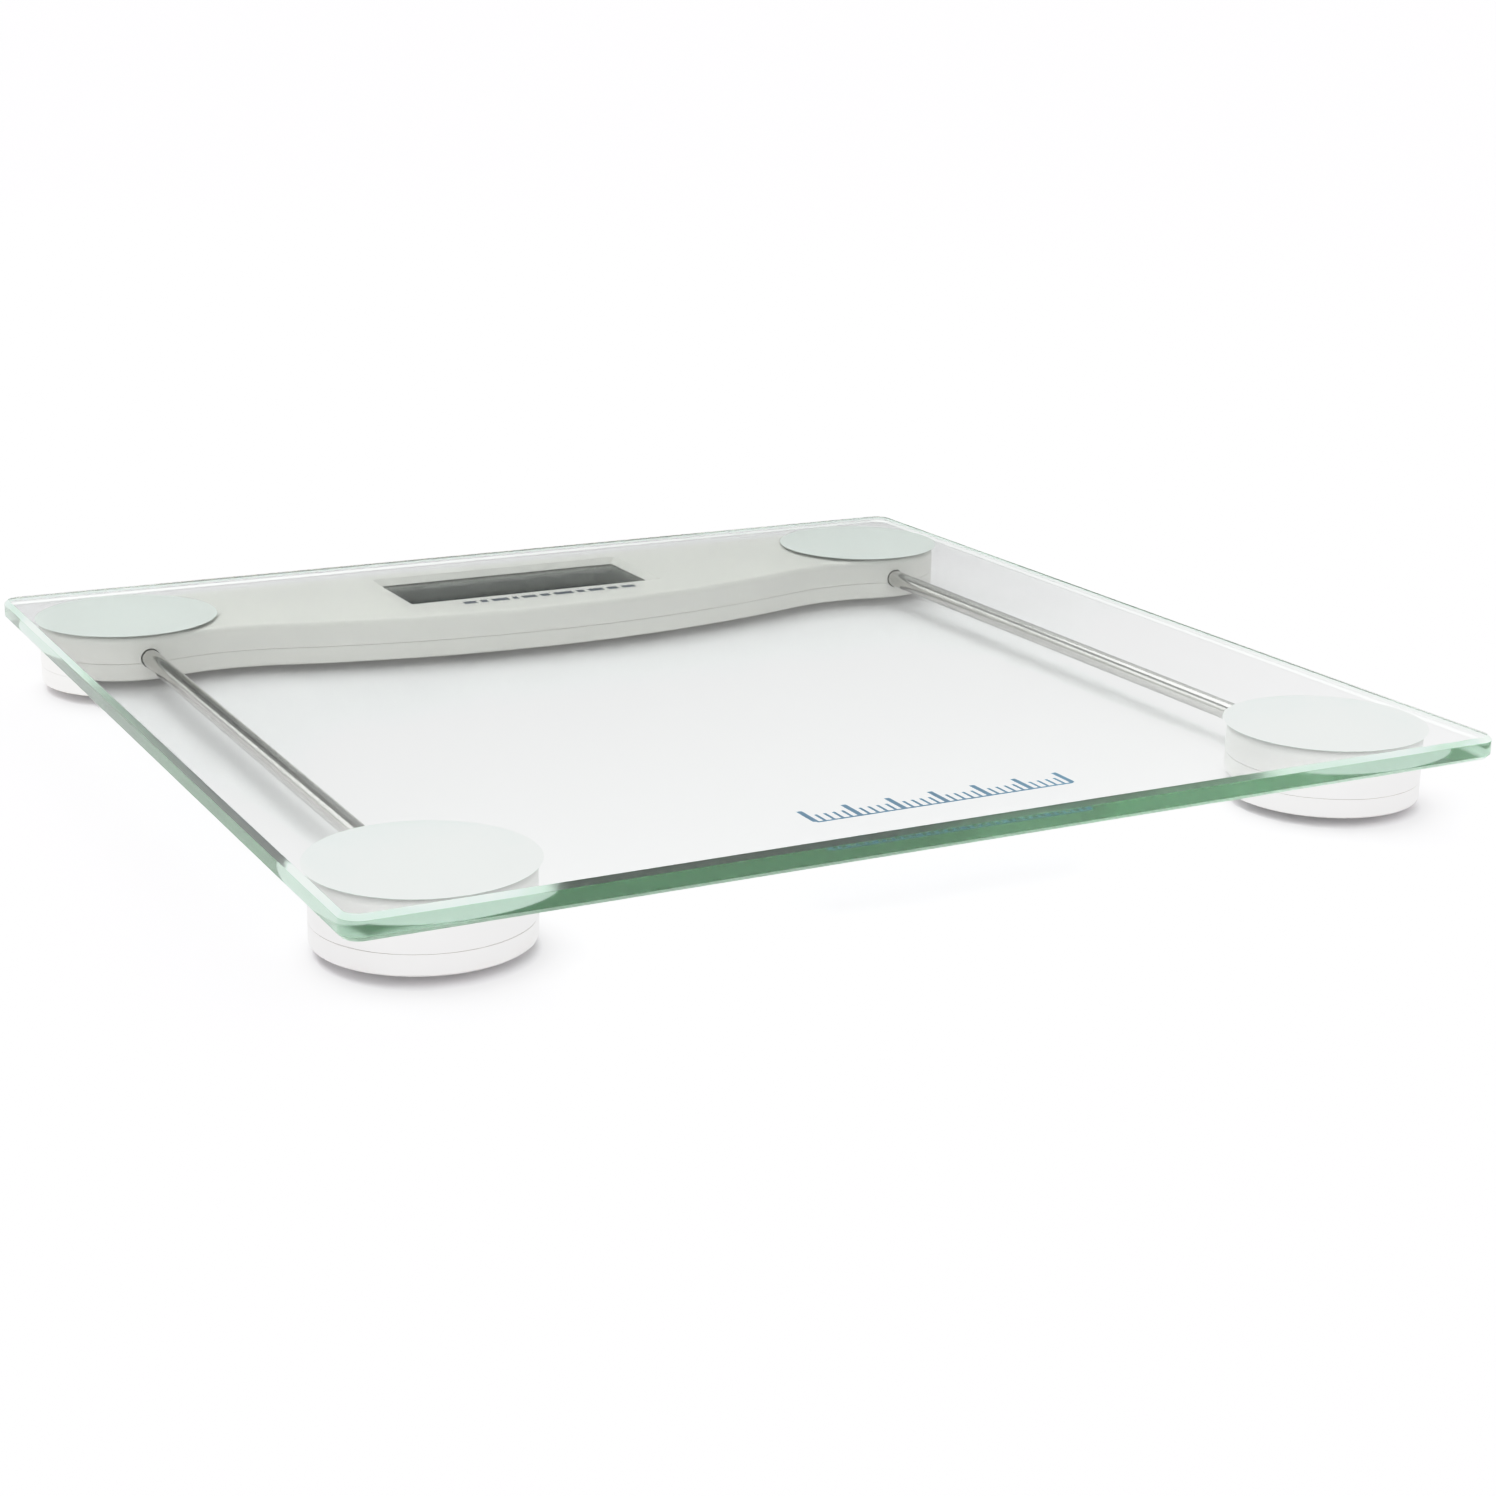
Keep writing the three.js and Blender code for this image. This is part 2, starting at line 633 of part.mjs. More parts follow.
function backCable(sign) {
  const x = sign * SUPPORT_X;
  return cable(
    [
      [x - sign * 4.5, 129, 11.75],
      [x - sign * 14, 129, 11.75],
      [x - sign * 24, SUPPORT_Y + 6, 10.7],
      [x - sign * 44, SUPPORT_Y + 5.5, 10.1],
      [sign * 62, SUPPORT_Y + 6.5, 9.5],
      [sign * 53, SUPPORT_Y + 7, 8.9],
    ],
    18,
  );
}

function screwAt([x, y], screw) {
  const [head, shoulder, tip] = screw.levels;
  const body = turned(
    [
      [0, head],
      [screw.head, head],
      [screw.head, shoulder],
      [screw.shank, shoulder],
      [screw.shank, tip - 1.2],
      [0, tip],
    ],
    10,
  );
  const reach = screw.head * 0.6;
  const half = screw.driveWidth / 2;
  const drive = [head - 1, head + 0.6];
  const cross = [box([-reach, reach], [-half, half], drive), box([-half, half], [-reach, reach], drive)];
  return cut(body, cross).translate(x, y, 0);
}

// ---------------------------------------------------------------- display and electronics

const displayLens = () => displayBox(0, [LENS_BOTTOM, SHELL_ROOF]);

const lcdPanel = () => displayBox(-0.5, [CELL_BOTTOM, LENS_BOTTOM]);

// A rubber strip along the panel's front edge, between its contacts and the board's.
function elastomerConnector() {
  const centre = [0, DISPLAY_Y - LENS_SIZE[1] / 2 + 4.2];
  return box(...around(centre, [68, 2.4], 0), [BOARD_TOP, CELL_BOTTOM]);
}

function circuitBoard() {
  return prism(roundedRectangle(BOARD_SIZE, 1.5, 2), [BOARD_BOTTOM, BOARD_TOP]).translate(0, BOARD_Y, 0);
}

// A drop of resin over the bare chip on the board's underside.
function controllerChip() {
  const drop = turned(
    [
      [0, BOARD_BOTTOM - 1.1],
      [3.4, BOARD_BOTTOM - 0.9],
      [5.2, BOARD_BOTTOM - 0.45],
      [5.8, BOARD_BOTTOM],
      [0, BOARD_BOTTOM],
    ],
    20,
  );
  return drop.translate(...CHIP_CENTRE, 0);
}

function batteryCell() {
  const [bottom, top] = COIN_LEVELS;
  const rim = 0.35;
  return turned(
    [
      [0, bottom],
      [COIN_RADIUS - rim, bottom],
      [COIN_RADIUS, bottom + rim],
      [COIN_RADIUS, top - 0.7],
      [COIN_RADIUS - 1, top - 0.7],
      [COIN_RADIUS - 1.2, top],
      [0, top],
    ],
    24,
  ).translate(...DOOR_CENTRE, 0);
}

const STRIP = [BOARD_TOP, BOARD_TOP + 0.3];
const BOARD_PAD_X = -51;

// A leaf along the board that turns down beside the coin's rim.
function batteryContactPositive() {
  const [x, y] = DOOR_CENTRE;
  const pocketEdge = x + DOOR_SIZE[0] / 2;
  const ySpan = [y - 4.5, y - 1.5];
  const leaf = box([pocketEdge - 0.6, BOARD_PAD_X], ySpan, STRIP);
  const drop = box([pocketEdge - 0.6, pocketEdge - 0.3], ySpan, [4.7, STRIP[1]]);
  const bump = box([x + COIN_RADIUS + 0.1, pocketEdge - 0.4], ySpan, [5.3, 6.1]);
  return join(leaf, [drop, bump]);
}

// A leaf along the board that runs out over the coin and touches its middle.
function batteryContactNegative() {
  const [x, y] = DOOR_CENTRE;
  const leaf = box([x - 2, BOARD_PAD_X], [y + 1.5, y + 4.5], STRIP);
  return join(leaf, [post([x, y + 3], 1.2, [COIN_LEVELS[1], STRIP[1]], 12)]);
}

// ---------------------------------------------------------------- assembly

const scale = new THREE.Group();

function place(name, finish, geometry) {
  const mesh = new THREE.Mesh(geometry, new THREE.MeshStandardMaterial(FINISHES[finish]));
  mesh.name = name;
  scale.add(mesh);
}

function placeCorners() {
  for (const end of Object.keys(ENDS)) {
    for (const side of Object.keys(SIDES)) {
      const corner = `${end}_${side}`;
      const centre = at(side, end);
      place(`frosted_disc_${corner}`, "frosted_print", frostedDisc(centre));
      place(`bonding_pad_${corner}`, "bond_foam", bondingPad(centre));
      place(`load_cell_${corner}`, "cell_steel", loadCell(centre));
      place(`strain_gauge_${corner}`, "gauge_film", strainGauge(centre));
      place(`foot_cap_${corner}`, "foot_steel", footCap(centre));
      place(`rubber_pad_${corner}`, "foot_rubber", rubberPad(centre));
    }
  }
}

function placeSides() {
  for (const [side, sign] of Object.entries(SIDES)) {
    const foot = at(side, "front");
    place(`foot_upper_shell_${side}`, "foot_plastic", footUpperShell(foot));
    place(`foot_lower_shell_${side}`, "foot_plastic", footLowerShell(foot));
    footScrewPlaces(foot).forEach((centre, i) =>
      place(`foot_screw_${side}_${i + 1}`, "screw_steel", screwAt(centre, FOOT_SCREW)),
    );
    place(`cable_tube_${side}`, "tube_steel", tube(sign * SUPPORT_X));
    place(`front_cable_${side}`, "cable_jacket", frontCable(sign));
    place(`back_cable_${side}`, "cable_jacket", backCable(sign));
  }
}

function placeHousing() {
  place("housing_upper_cover", "housing_plastic", barUpperCover());
  place("housing_lower_cover", "housing_plastic", barLowerCover());
  BAR_SCREWS.forEach((centre, i) =>
    place(`housing_screw_${i + 1}`, "screw_steel", screwAt(centre, BAR_SCREW)),
  );
  place("battery_door", "housing_plastic", batteryDoor());
  place("unit_button", "button_plastic", unitButton());
  place("switch_plunger", "button_plastic", switchPlunger());
  place("unit_switch", "chip_resin", unitSwitch());
}

function placeElectronics() {
  place("display_lens", "lens_acrylic", displayLens());
  place("lcd_panel", "display_glass", lcdPanel());
  place("elastomer_connector", "connector_rubber", elastomerConnector());
  place("circuit_board", "board_laminate", circuitBoard());
  place("controller_chip", "chip_resin", controllerChip());
  place("battery_cell", "coin_steel", batteryCell());
  place("battery_contact_positive", "contact_steel", batteryContactPositive());
  place("battery_contact_negative", "contact_steel", batteryContactNegative());
}

place("glass_platform", "clear_glass", glassPlatform());
placeCorners();
placeSides();
placeHousing();
placeElectronics();

export default scale;
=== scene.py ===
"""Looks of the digital glass platform scale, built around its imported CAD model.

Metres, +Z up, +Y towards the display side. Places and sizes come from the frame.
"""

import json
import math

import bmesh
import bpy
from mathutils import Matrix, Vector


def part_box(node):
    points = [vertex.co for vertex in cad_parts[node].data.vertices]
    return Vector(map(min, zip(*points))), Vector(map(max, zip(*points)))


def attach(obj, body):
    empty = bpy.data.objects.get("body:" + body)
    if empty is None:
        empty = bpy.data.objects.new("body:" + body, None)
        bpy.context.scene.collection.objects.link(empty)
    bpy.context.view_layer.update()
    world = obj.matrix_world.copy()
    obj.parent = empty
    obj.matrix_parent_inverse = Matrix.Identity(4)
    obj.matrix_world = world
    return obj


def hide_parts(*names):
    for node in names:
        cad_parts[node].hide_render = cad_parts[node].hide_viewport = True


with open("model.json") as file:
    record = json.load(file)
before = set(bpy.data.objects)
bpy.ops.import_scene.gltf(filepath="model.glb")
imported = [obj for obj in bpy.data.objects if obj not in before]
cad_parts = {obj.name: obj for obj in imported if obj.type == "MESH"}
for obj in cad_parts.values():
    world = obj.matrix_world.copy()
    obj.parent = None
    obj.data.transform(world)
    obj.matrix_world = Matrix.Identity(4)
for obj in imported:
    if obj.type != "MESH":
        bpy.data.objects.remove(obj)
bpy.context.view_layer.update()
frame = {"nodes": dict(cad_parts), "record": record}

MM = 0.001
SIDES = {"left": -1, "right": 1}
ENDS = {"front": -1, "back": 1}
CORNERS = [(end, side) for end in ENDS for side in SIDES]

# ------------------------------------------------------------ sizes read from the frame

GLASS_LOW, GLASS_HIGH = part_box("glass_platform")
SHELL_LOW, SHELL_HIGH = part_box("foot_upper_shell_right")
LOWER_SHELL_LOW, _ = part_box("foot_lower_shell_right")
BAR_LOW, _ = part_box("housing_upper_cover")
DISC_LOW, DISC_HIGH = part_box("frosted_disc_front_right")
PAD_LOW, PAD_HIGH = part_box("bonding_pad_front_right")
TUBE_LOW, TUBE_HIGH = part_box("cable_tube_right")
CAP_LOW, CAP_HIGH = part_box("foot_cap_front_right")
RUBBER_LOW, RUBBER_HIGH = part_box("rubber_pad_front_right")
LENS_LOW, LENS_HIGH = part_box("display_lens")
LCD_LOW, LCD_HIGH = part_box("lcd_panel")
CELL_LOW, CELL_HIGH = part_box("load_cell_front_right")
BOARD_LOW, BOARD_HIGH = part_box("circuit_board")
DOOR_LOW, DOOR_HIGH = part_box("battery_door")
BUTTON_LOW, BUTTON_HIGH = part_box("unit_button")
COIN_LOW, COIN_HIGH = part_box("battery_cell")


def middle(low, high):
    return (low + high) / 2


def half_width(low, high):
    return (high.x - low.x) / 2


SUPPORT_X = middle(SHELL_LOW, SHELL_HIGH).x
SUPPORT_Y = -middle(SHELL_LOW, SHELL_HIGH).y
HOUSING_RADIUS = half_width(SHELL_LOW, SHELL_HIGH)
SHELL_TOP = SHELL_HIGH.z
PARTING = SHELL_LOW.z
SHELL_BOTTOM = LOWER_SHELL_LOW.z
TUBE_RADIUS = half_width(TUBE_LOW, TUBE_HIGH)
TUBE_LEVEL = middle(TUBE_LOW, TUBE_HIGH).z
DISPLAY_Y = middle(LENS_LOW, LENS_HIGH).y

# ------------------------------------------------------------ sizes that the frame doesn't name

WALL = 2 * MM
# How deep a post or rib is sunk into the wall that it grows from.
ROOT = 0.5 * MM
SHELL_FLOOR = SHELL_BOTTOM + 1.5 * MM
SHELL_ROOF = LENS_HIGH.z
TOP_EDGE = 1.6 * MM
BOTTOM_EDGE = 0.8 * MM
PARTING_GROOVE = 0.22 * MM

GLASS_CORNER = 5 * MM
GLASS_ARRIS = 1.2 * MM
# How far a print reaches into the glass, so that the glass is in optical contact with it.
PRINT_DEPTH = 0.04 * MM

BULGE_RADIUS = 300 * MM
NECK_RADIUS = 60 * MM
DISPLAY_OPENING = (84 * MM, 35.5 * MM)
DISPLAY_SLOPE = 2.4 * MM
RECESS_CORNER = 0.5 * MM

TUBE_WALL = 0.5 * MM
TUBE_HOLE_RADIUS = TUBE_RADIUS + 0.25 * MM
FOOT_OPENING_RADIUS = half_width(CAP_LOW, CAP_HIGH) + 0.7 * MM
PILLAR_REACH = 14.3 * MM
PILLAR_RADIUS = 1.7 * MM
SCREW_WALL = 1.4 * MM
DOOR_GAP = 0.35 * MM

SMOOTH_ANGLE = math.radians(32)
ROUND_STEPS = 8
TURN_STEPS = 128


def at(end, side):
    """The point over which a corner's foot is centred."""
    return Vector((SIDES[side] * SUPPORT_X, ENDS[end] * SUPPORT_Y, 0))


# ------------------------------------------------------------ outlines


def arc(centre, radius, start, end, steps):
    """Points on a circle from one angle to another in degrees, both ends included."""
    points = []
    for i in range(steps + 1):
        angle = math.radians(start + (end - start) * i / steps)
        points.append((centre[0] + radius * math.cos(angle), centre[1] + radius * math.sin(angle)))
    return points


def rounded_rectangle(size, corner, centre=(0, 0), steps=8):
    """A function of an inset that gives a rectangle with round corners, counter-clockwise."""

    def outline(inset):
        x = size[0] / 2 - corner
        y = size[1] / 2 - corner
        points = []
        for quarter, (i, j) in enumerate([(1, 1), (-1, 1), (-1, -1), (1, -1)]):
            place = (centre[0] + i * x, centre[1] + j * y)
            start = 90 * quarter
            points += arc(place, max(corner - inset, 0.02 * MM), start, start + 90, steps)
        return points

    return outline


def circle(radius, centre=(0, 0), steps=48):
    """A function of an inset that gives a circle."""
    return lambda inset: arc(centre, radius - inset, 0, 360, steps)[:-1]


def neck_centre():
    """The centre of the circle that touches the bar's end circle and its front bulge."""
    end = Vector((SUPPORT_X, SUPPORT_Y))
    apart = Vector((0, BAR_LOW.y + BULGE_RADIUS)) - end
    to_end = HOUSING_RADIUS + NECK_RADIUS
    to_bulge = BULGE_RADIUS + NECK_RADIUS
    span = apart.length
    along = (to_end**2 - to_bulge**2 + span**2) / (2 * span)
    aside = math.sqrt(to_end**2 - along**2)
    direction = apart / span
    return end + direction * along + Vector((-direction.y, direction.x)) * aside


def bar_outline(inset):
    """The bar housing from above, counter-clockwise, moved in by an inset."""
    end = Vector((SUPPORT_X, SUPPORT_Y))
    bulge = Vector((0, BAR_LOW.y + BULGE_RADIUS))
    neck = neck_centre()
    touch_end = math.degrees(math.atan2(neck.y - end.y, neck.x - end.x))
    touch_bulge = math.degrees(math.atan2(neck.y - bulge.y, neck.x - bulge.x))
    right_neck = arc(neck, NECK_RADIUS + inset, touch_bulge + 180, touch_end + 180, 20)
    right_end = arc(end, HOUSING_RADIUS - inset, touch_end, 90, 72)
    right = right_neck[:-1] + right_end
    left = [(-x, y) for x, y in reversed(right)]
    front = arc(bulge, BULGE_RADIUS - inset, -180 - touch_bulge, touch_bulge, 48)
    return right + left + front[1:-1]


# ------------------------------------------------------------ solids


def stacked(outline, levels):
    """Vertices and faces of a closed solid through an outline at (inset, height) levels."""
    rings = [[(x, y, height) for x, y in outline(inset)] for inset, height in levels]
    count = len(rings[0])
    faces = [tuple(reversed(range(count)))]
    for ring in range(len(rings) - 1):
        start = ring * count
        for i in range(count):
            j = (i + 1) % count
            faces.append((start + i, start + j, start + count + j, start + count + i))
    faces.append(tuple(range((len(rings) - 1) * count, len(rings) * count)))
    return [point for ring in rings for point in ring], faces


def turned(profile, centre=(0, 0), steps=TURN_STEPS):
    """Vertices and faces of a solid turned from (radius, height) points.

    The points run from the axis, round the outside and back to the axis, or all round a ring.
    """
    vertices = []
    rings = []
    for radius, height in profile:
        points = arc(centre, radius, 0, 360, steps)[:-1] if radius > 0 else [tuple(centre[:2])]
        rings.append(range(len(vertices), len(vertices) + len(points)))
        vertices += [(x, y, height) for x, y in points]
    pairs = list(zip(rings, rings[1:]))
    if len(rings[0]) > 1:
        pairs.append((rings[-1], rings[0]))
    faces = []
    for low, high in pairs:
        for i in range(steps):
            j = (i + 1) % steps
            corners = [low[i % len(low)], low[j % len(low)], high[j % len(high)], high[i % len(high)]]
            face = tuple(dict.fromkeys(corners))
            if len(face) > 2:
                faces.append(face)
    return vertices, faces


def rounded(inset, height, radius, towards, steps=ROUND_STEPS):
    """(inset, height) levels that ease an edge, from the side up to a top or down from a bottom."""
    levels = []
    for i in range(steps + 1):
        angle = math.pi / 2 * i / steps
        rise = radius * (1 - math.sin(angle))
        levels.append((inset + radius * (1 - math.cos(angle)), height - towards * rise))
    return levels if towards > 0 else levels[::-1]


def solid(name, shape):
    """An object from vertices and faces, its normals outwards."""
    vertices, faces = shape
    mesh = bpy.data.meshes.new(name)
    mesh.from_pydata(vertices, [], faces)
    shaped = bmesh.new()
    shaped.from_mesh(mesh)
    bmesh.ops.recalc_face_normals(shaped, faces=shaped.faces)
    shaped.to_mesh(mesh)
    shaped.free()
    made = bpy.data.objects.new(name, mesh)
    bpy.context.scene.collection.objects.link(made)
    return made


def block(low, high):
    """Vertices and faces of an upright box between two corners."""
    centre = ((low[0] + high[0]) / 2, (low[1] + high[1]) / 2)
    size = (high[0] - low[0], high[1] - low[1])
    outline = rounded_rectangle(size, 0.02 * MM, centre, 1)
    return stacked(outline, [(0, low[2]), (0, high[2])])


def post(centre, radius, low, high, steps=48):
    """Vertices and faces of an upright cylinder."""
    return stacked(circle(radius, centre, steps), [(0, low), (0, high)])


def along_y(shape, x, level):
    """A shape turned about Z, laid down so that its axis runs along Y."""
    vertices, faces = shape
    return [(x + px, pz, level + py) for px, py, pz in vertices], [face[::-1] for face in faces]


def combine(target, shapes, operation):
    """Adds each shape to the target, or cuts it away, and keeps the result as its mesh."""
    tools = [solid(f"tool_{i}", shape) for i, shape in enumerate(shapes)]
    for tool in tools:
        modifier = target.modifiers.new(tool.name, "BOOLEAN")
        modifier.operation = operation
        modifier.solver = "EXACT"
        modifier.object = tool
    evaluated = target.evaluated_get(bpy.context.evaluated_depsgraph_get())
    result = bpy.data.meshes.new_from_object(evaluated)
    target.modifiers.clear()
    target.data = result
    for tool in tools:
        bpy.data.objects.remove(tool)
    return target


def cut(target, shapes):
    return combine(target, shapes, "DIFFERENCE")


def join(target, shapes):
    return combine(target, shapes, "UNION")


def finish_piece(made, material, body, slot, *nodes):
    """Smooth shading with crisp corners, the material, and the piece's place in the frame."""
    mesh = made.data
    mesh.polygons.foreach_set("use_smooth", [True] * len(mesh.polygons))
    mesh.set_sharp_from_angle(angle=SMOOTH_ANGLE)
    normals = made.modifiers.new("even_normals", "WEIGHTED_NORMAL")
    normals.keep_sharp = True
    mesh.materials.clear()
    mesh.materials.append(material)
    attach(made, body)
    if nodes:
        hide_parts(*nodes)
    return made


# ------------------------------------------------------------ material nodes


def new_material(name):
    """A material, its node tree and its Principled shader."""
    material = bpy.data.materials.new(name)
    material.use_nodes = True
    return material, material.node_tree, material.node_tree.nodes["Principled BSDF"]


def add_node(tree, kind, inputs=None, **settings):
    """A node with its settings, and its inputs set to values or linked to outputs."""
    node = tree.nodes.new(kind)
    for key, value in settings.items():
        setattr(node, key, value)
    for key, value in (inputs or {}).items():
        if isinstance(value, bpy.types.NodeSocket):
            tree.links.new(value, node.inputs[key])
        else:
            node.inputs[key].default_value = value
    return node


def coordinates(tree, stretch=(1, 1, 1)):
    """Positions in the frame, stretched along each axis."""
    place = add_node(tree, "ShaderNodeTexCoord")
    mapping = add_node(tree, "ShaderNodeMapping", {"Vector": place.outputs["Object"], "Scale": stretch})
    return mapping.outputs["Vector"]


def noise(tree, scale, detail=3, stretch=(1, 1, 1)):
    """A noise from 0 to 1, with scale in grains per metre."""
    texture = add_node(
        tree,
        "ShaderNodeTexNoise",
        {"Vector": coordinates(tree, stretch), "Scale": scale, "Detail": detail, "Roughness": 0.55},
    )
    return texture.outputs["Fac"]


def between(tree, share, low, high):
    """A number from low to high as share goes from 0 to 1."""
    node = add_node(tree, "ShaderNodeMapRange", {"Value": share, "To Min": low, "To Max": high})
    return node.outputs["Result"]


def two_colours(tree, share, first, second):
    node = add_node(
        tree,
        "ShaderNodeMix",
        {"Factor": share, "A": (*first, 1), "B": (*second, 1)},
        data_type="RGBA",
    )
    return node.outputs["Result"]


def linear(red, green, blue):
    """Linear colour of an sRGB colour given from 0 to 255."""
    return tuple(((c / 255 + 0.055) / 1.055) ** 2.4 if c > 10 else c / 3295 for c in (red, green, blue))


def shaded(colour, by):
    return tuple(min(channel * by, 1) for channel in colour)


def bumped(tree, shader, height, depth, strength=1.0):
    bump = add_node(
        tree, "ShaderNodeBump", {"Height": height, "Distance": depth, "Strength": strength}
    )
    tree.links.new(bump.outputs["Normal"], shader.inputs["Normal"])


GLASS_EDGE_TINT = (0.29, 0.44, 0.345)
GLASS_ARRIS_TINT = (0.74, 0.9, 0.81)
GLASS_SHADOW_TINT = (0.95, 0.955, 0.96)
GLASS_BODY = (0.4, 0.66, 0.46)
GLASS_DENSITY = 9.0
EDGE_ROUGHNESS = 0.15
ARRIS_ROUGHNESS = 0.36

HOUSING_GREY = linear(243, 241, 237)
FOOT_WHITE = linear(225, 223, 222)
PRINT_MINT = linear(228, 231, 230)
TUBE_STEEL = (0.6, 0.59, 0.57)


def moulded_plastic(name, colour, roughness=0.42):
    """Injection-moulded plastic: a fine spark-eroded grain and a faint flow mottle."""
    material, tree, shader = new_material(name)
    mottle = noise(tree, 55, 4)
    tint = two_colours(tree, mottle, shaded(colour, 0.975), shaded(colour, 1.02))
    tree.links.new(tint, shader.inputs["Base Color"])
    grain = noise(tree, 3600, 2)
    tree.links.new(between(tree, grain, roughness - 0.06, roughness + 0.08), shader.inputs["Roughness"])
    bumped(tree, shader, grain, 0.012 * MM, 0.5)
    shader.inputs["IOR"].default_value = 1.49
    return material


def brushed_metal(name, colour, roughness, stretch, depth=0.003 * MM):
    """Metal with fine lines drawn along the axis whose stretch is small."""
    material, tree, shader = new_material(name)
    lines = noise(tree, 2600, 3, stretch)
    cloud = noise(tree, 90, 3)
    tint = two_colours(tree, cloud, shaded(colour, 0.9), shaded(colour, 1.06))
    tree.links.new(tint, shader.inputs["Base Color"])
    shader.inputs["Metallic"].default_value = 1
    tree.links.new(between(tree, lines, roughness * 0.75, roughness * 1.35), shader.inputs["Roughness"])
    bumped(tree, shader, lines, depth, 0.6)
    return material


def speckled(name, colour, roughness, scale, spread=0.05, depth=0.01 * MM):
    """A matt surface such as rubber, foam, resin or laminate, with fine speckle."""
    material, tree, shader = new_material(name)
    fine = noise(tree, scale, 3)
    tint = two_colours(tree, fine, shaded(colour, 1 - spread), shaded(colour, 1 + spread))
    tree.links.new(tint, shader.inputs["Base Color"])
    tree.links.new(between(tree, fine, roughness - 0.08, roughness + 0.08), shader.inputs["Roughness"])
    bumped(tree, shader, fine, depth, 0.6)
    return material


def let_lamps_through(tree, tint):
    """Lamps reach what is behind the glass, dimmed by a tint, where a shader can only bend them."""
    output = tree.nodes["Material Output"]
    shader = tree.nodes["Principled BSDF"]
    path = add_node(tree, "ShaderNodeLightPath")
    clear = add_node(tree, "ShaderNodeBsdfTransparent", {"Color": (*tint, 1)})
    mix = add_node(tree, "ShaderNodeMixShader", {0: path.outputs["Is Shadow Ray"]})
    tree.links.new(shader.outputs["BSDF"], mix.inputs[1])
    tree.links.new(clear.outputs["BSDF"], mix.inputs[2])
    tree.links.new(mix.outputs["Shader"], output.inputs["Surface"])


def by_facing(tree, facing_up, edge, arris, face):
    """A colour for the glass's upright edges, one for its sloping arrises and one for its faces."""
    ramp = add_node(tree, "ShaderNodeValToRGB", {"Fac": facing_up})
    stops = ramp.color_ramp
    stops.interpolation = "CONSTANT"
    stops.elements[0].color = (*edge, 1)
    stops.elements[1].position = 0.95
    stops.elements[1].color = (*face, 1)
    stops.elements.new(0.3).color = (*arris, 1)
    return ramp.outputs["Color"]


def tempered_glass():
    """Clear float glass, green along its length, with ground and polished edges."""
    material, tree, shader = new_material("tempered_glass")
    normal = add_node(tree, "ShaderNodeTexCoord").outputs["Normal"]
    parts = add_node(tree, "ShaderNodeSeparateXYZ", {"Vector": normal})
    facing_up = add_node(tree, "ShaderNodeMath", {0: parts.outputs["Z"]}, operation="ABSOLUTE")
    tint = by_facing(tree, facing_up.outputs[0], GLASS_EDGE_TINT, GLASS_ARRIS_TINT, (1, 1, 1))
    tree.links.new(tint, shader.inputs["Base Color"])
    edge, arris, face = [(value, value, value) for value in (EDGE_ROUGHNESS, ARRIS_ROUGHNESS, 0)]
    rough = by_facing(tree, facing_up.outputs[0], edge, arris, face)
    tree.links.new(rough, shader.inputs["Roughness"])
    shader.inputs["IOR"].default_value = 1.52
    shader.inputs["Transmission Weight"].default_value = 1
    let_lamps_through(tree, GLASS_SHADOW_TINT)
    absorption = add_node(
        tree, "ShaderNodeVolumeAbsorption", {"Color": (*GLASS_BODY, 1), "Density": GLASS_DENSITY}
    )
    tree.links.new(absorption.outputs["Volume"], tree.nodes["Material Output"].inputs["Volume"])
    return material


def clear_acrylic():
    material, tree, shader = new_material("clear_acrylic")
    tree.links.new(between(tree, noise(tree, 400), 0.01, 0.03), shader.inputs["Roughness"])
    shader.inputs["Base Color"].default_value = (0.96, 0.98, 0.97, 1)
    shader.inputs["IOR"].default_value = 1.15
    shader.inputs["Transmission Weight"].default_value = 1
    let_lamps_through(tree, (0.9, 0.92, 0.91))
    return material


def display_cell():
    """A switched-off liquid crystal panel: a dark polariser that is a little uneven."""
    material, tree, shader = new_material("display_cell")
    cloud = noise(tree, 40, 2)
    tint = two_colours(tree, cloud, linear(20, 23, 21), linear(29, 32, 30))
    tree.links.new(tint, shader.inputs["Base Color"])
    tree.links.new(between(tree, cloud, 0.04, 0.08), shader.inputs["Roughness"])
    shader.inputs["Specular IOR Level"].default_value = 0.05
    return material


def blue_ink():
    """Two blues that blend along the mark, with a slight unevenness in the ink."""
    material, tree, shader = new_material("blue_ink")
    place = add_node(tree, "ShaderNodeSeparateXYZ", {"Vector": coordinates(tree, (14, 14, 14))})
    share = between(tree, place.outputs["X"], 0.3, 0.8)
    tint = two_colours(tree, share, linear(44, 92, 128), linear(70, 142, 176))
    tree.links.new(tint, shader.inputs["Base Color"])
    tree.links.new(between(tree, noise(tree, 3000), 0.35, 0.5), shader.inputs["Roughness"])
    return material


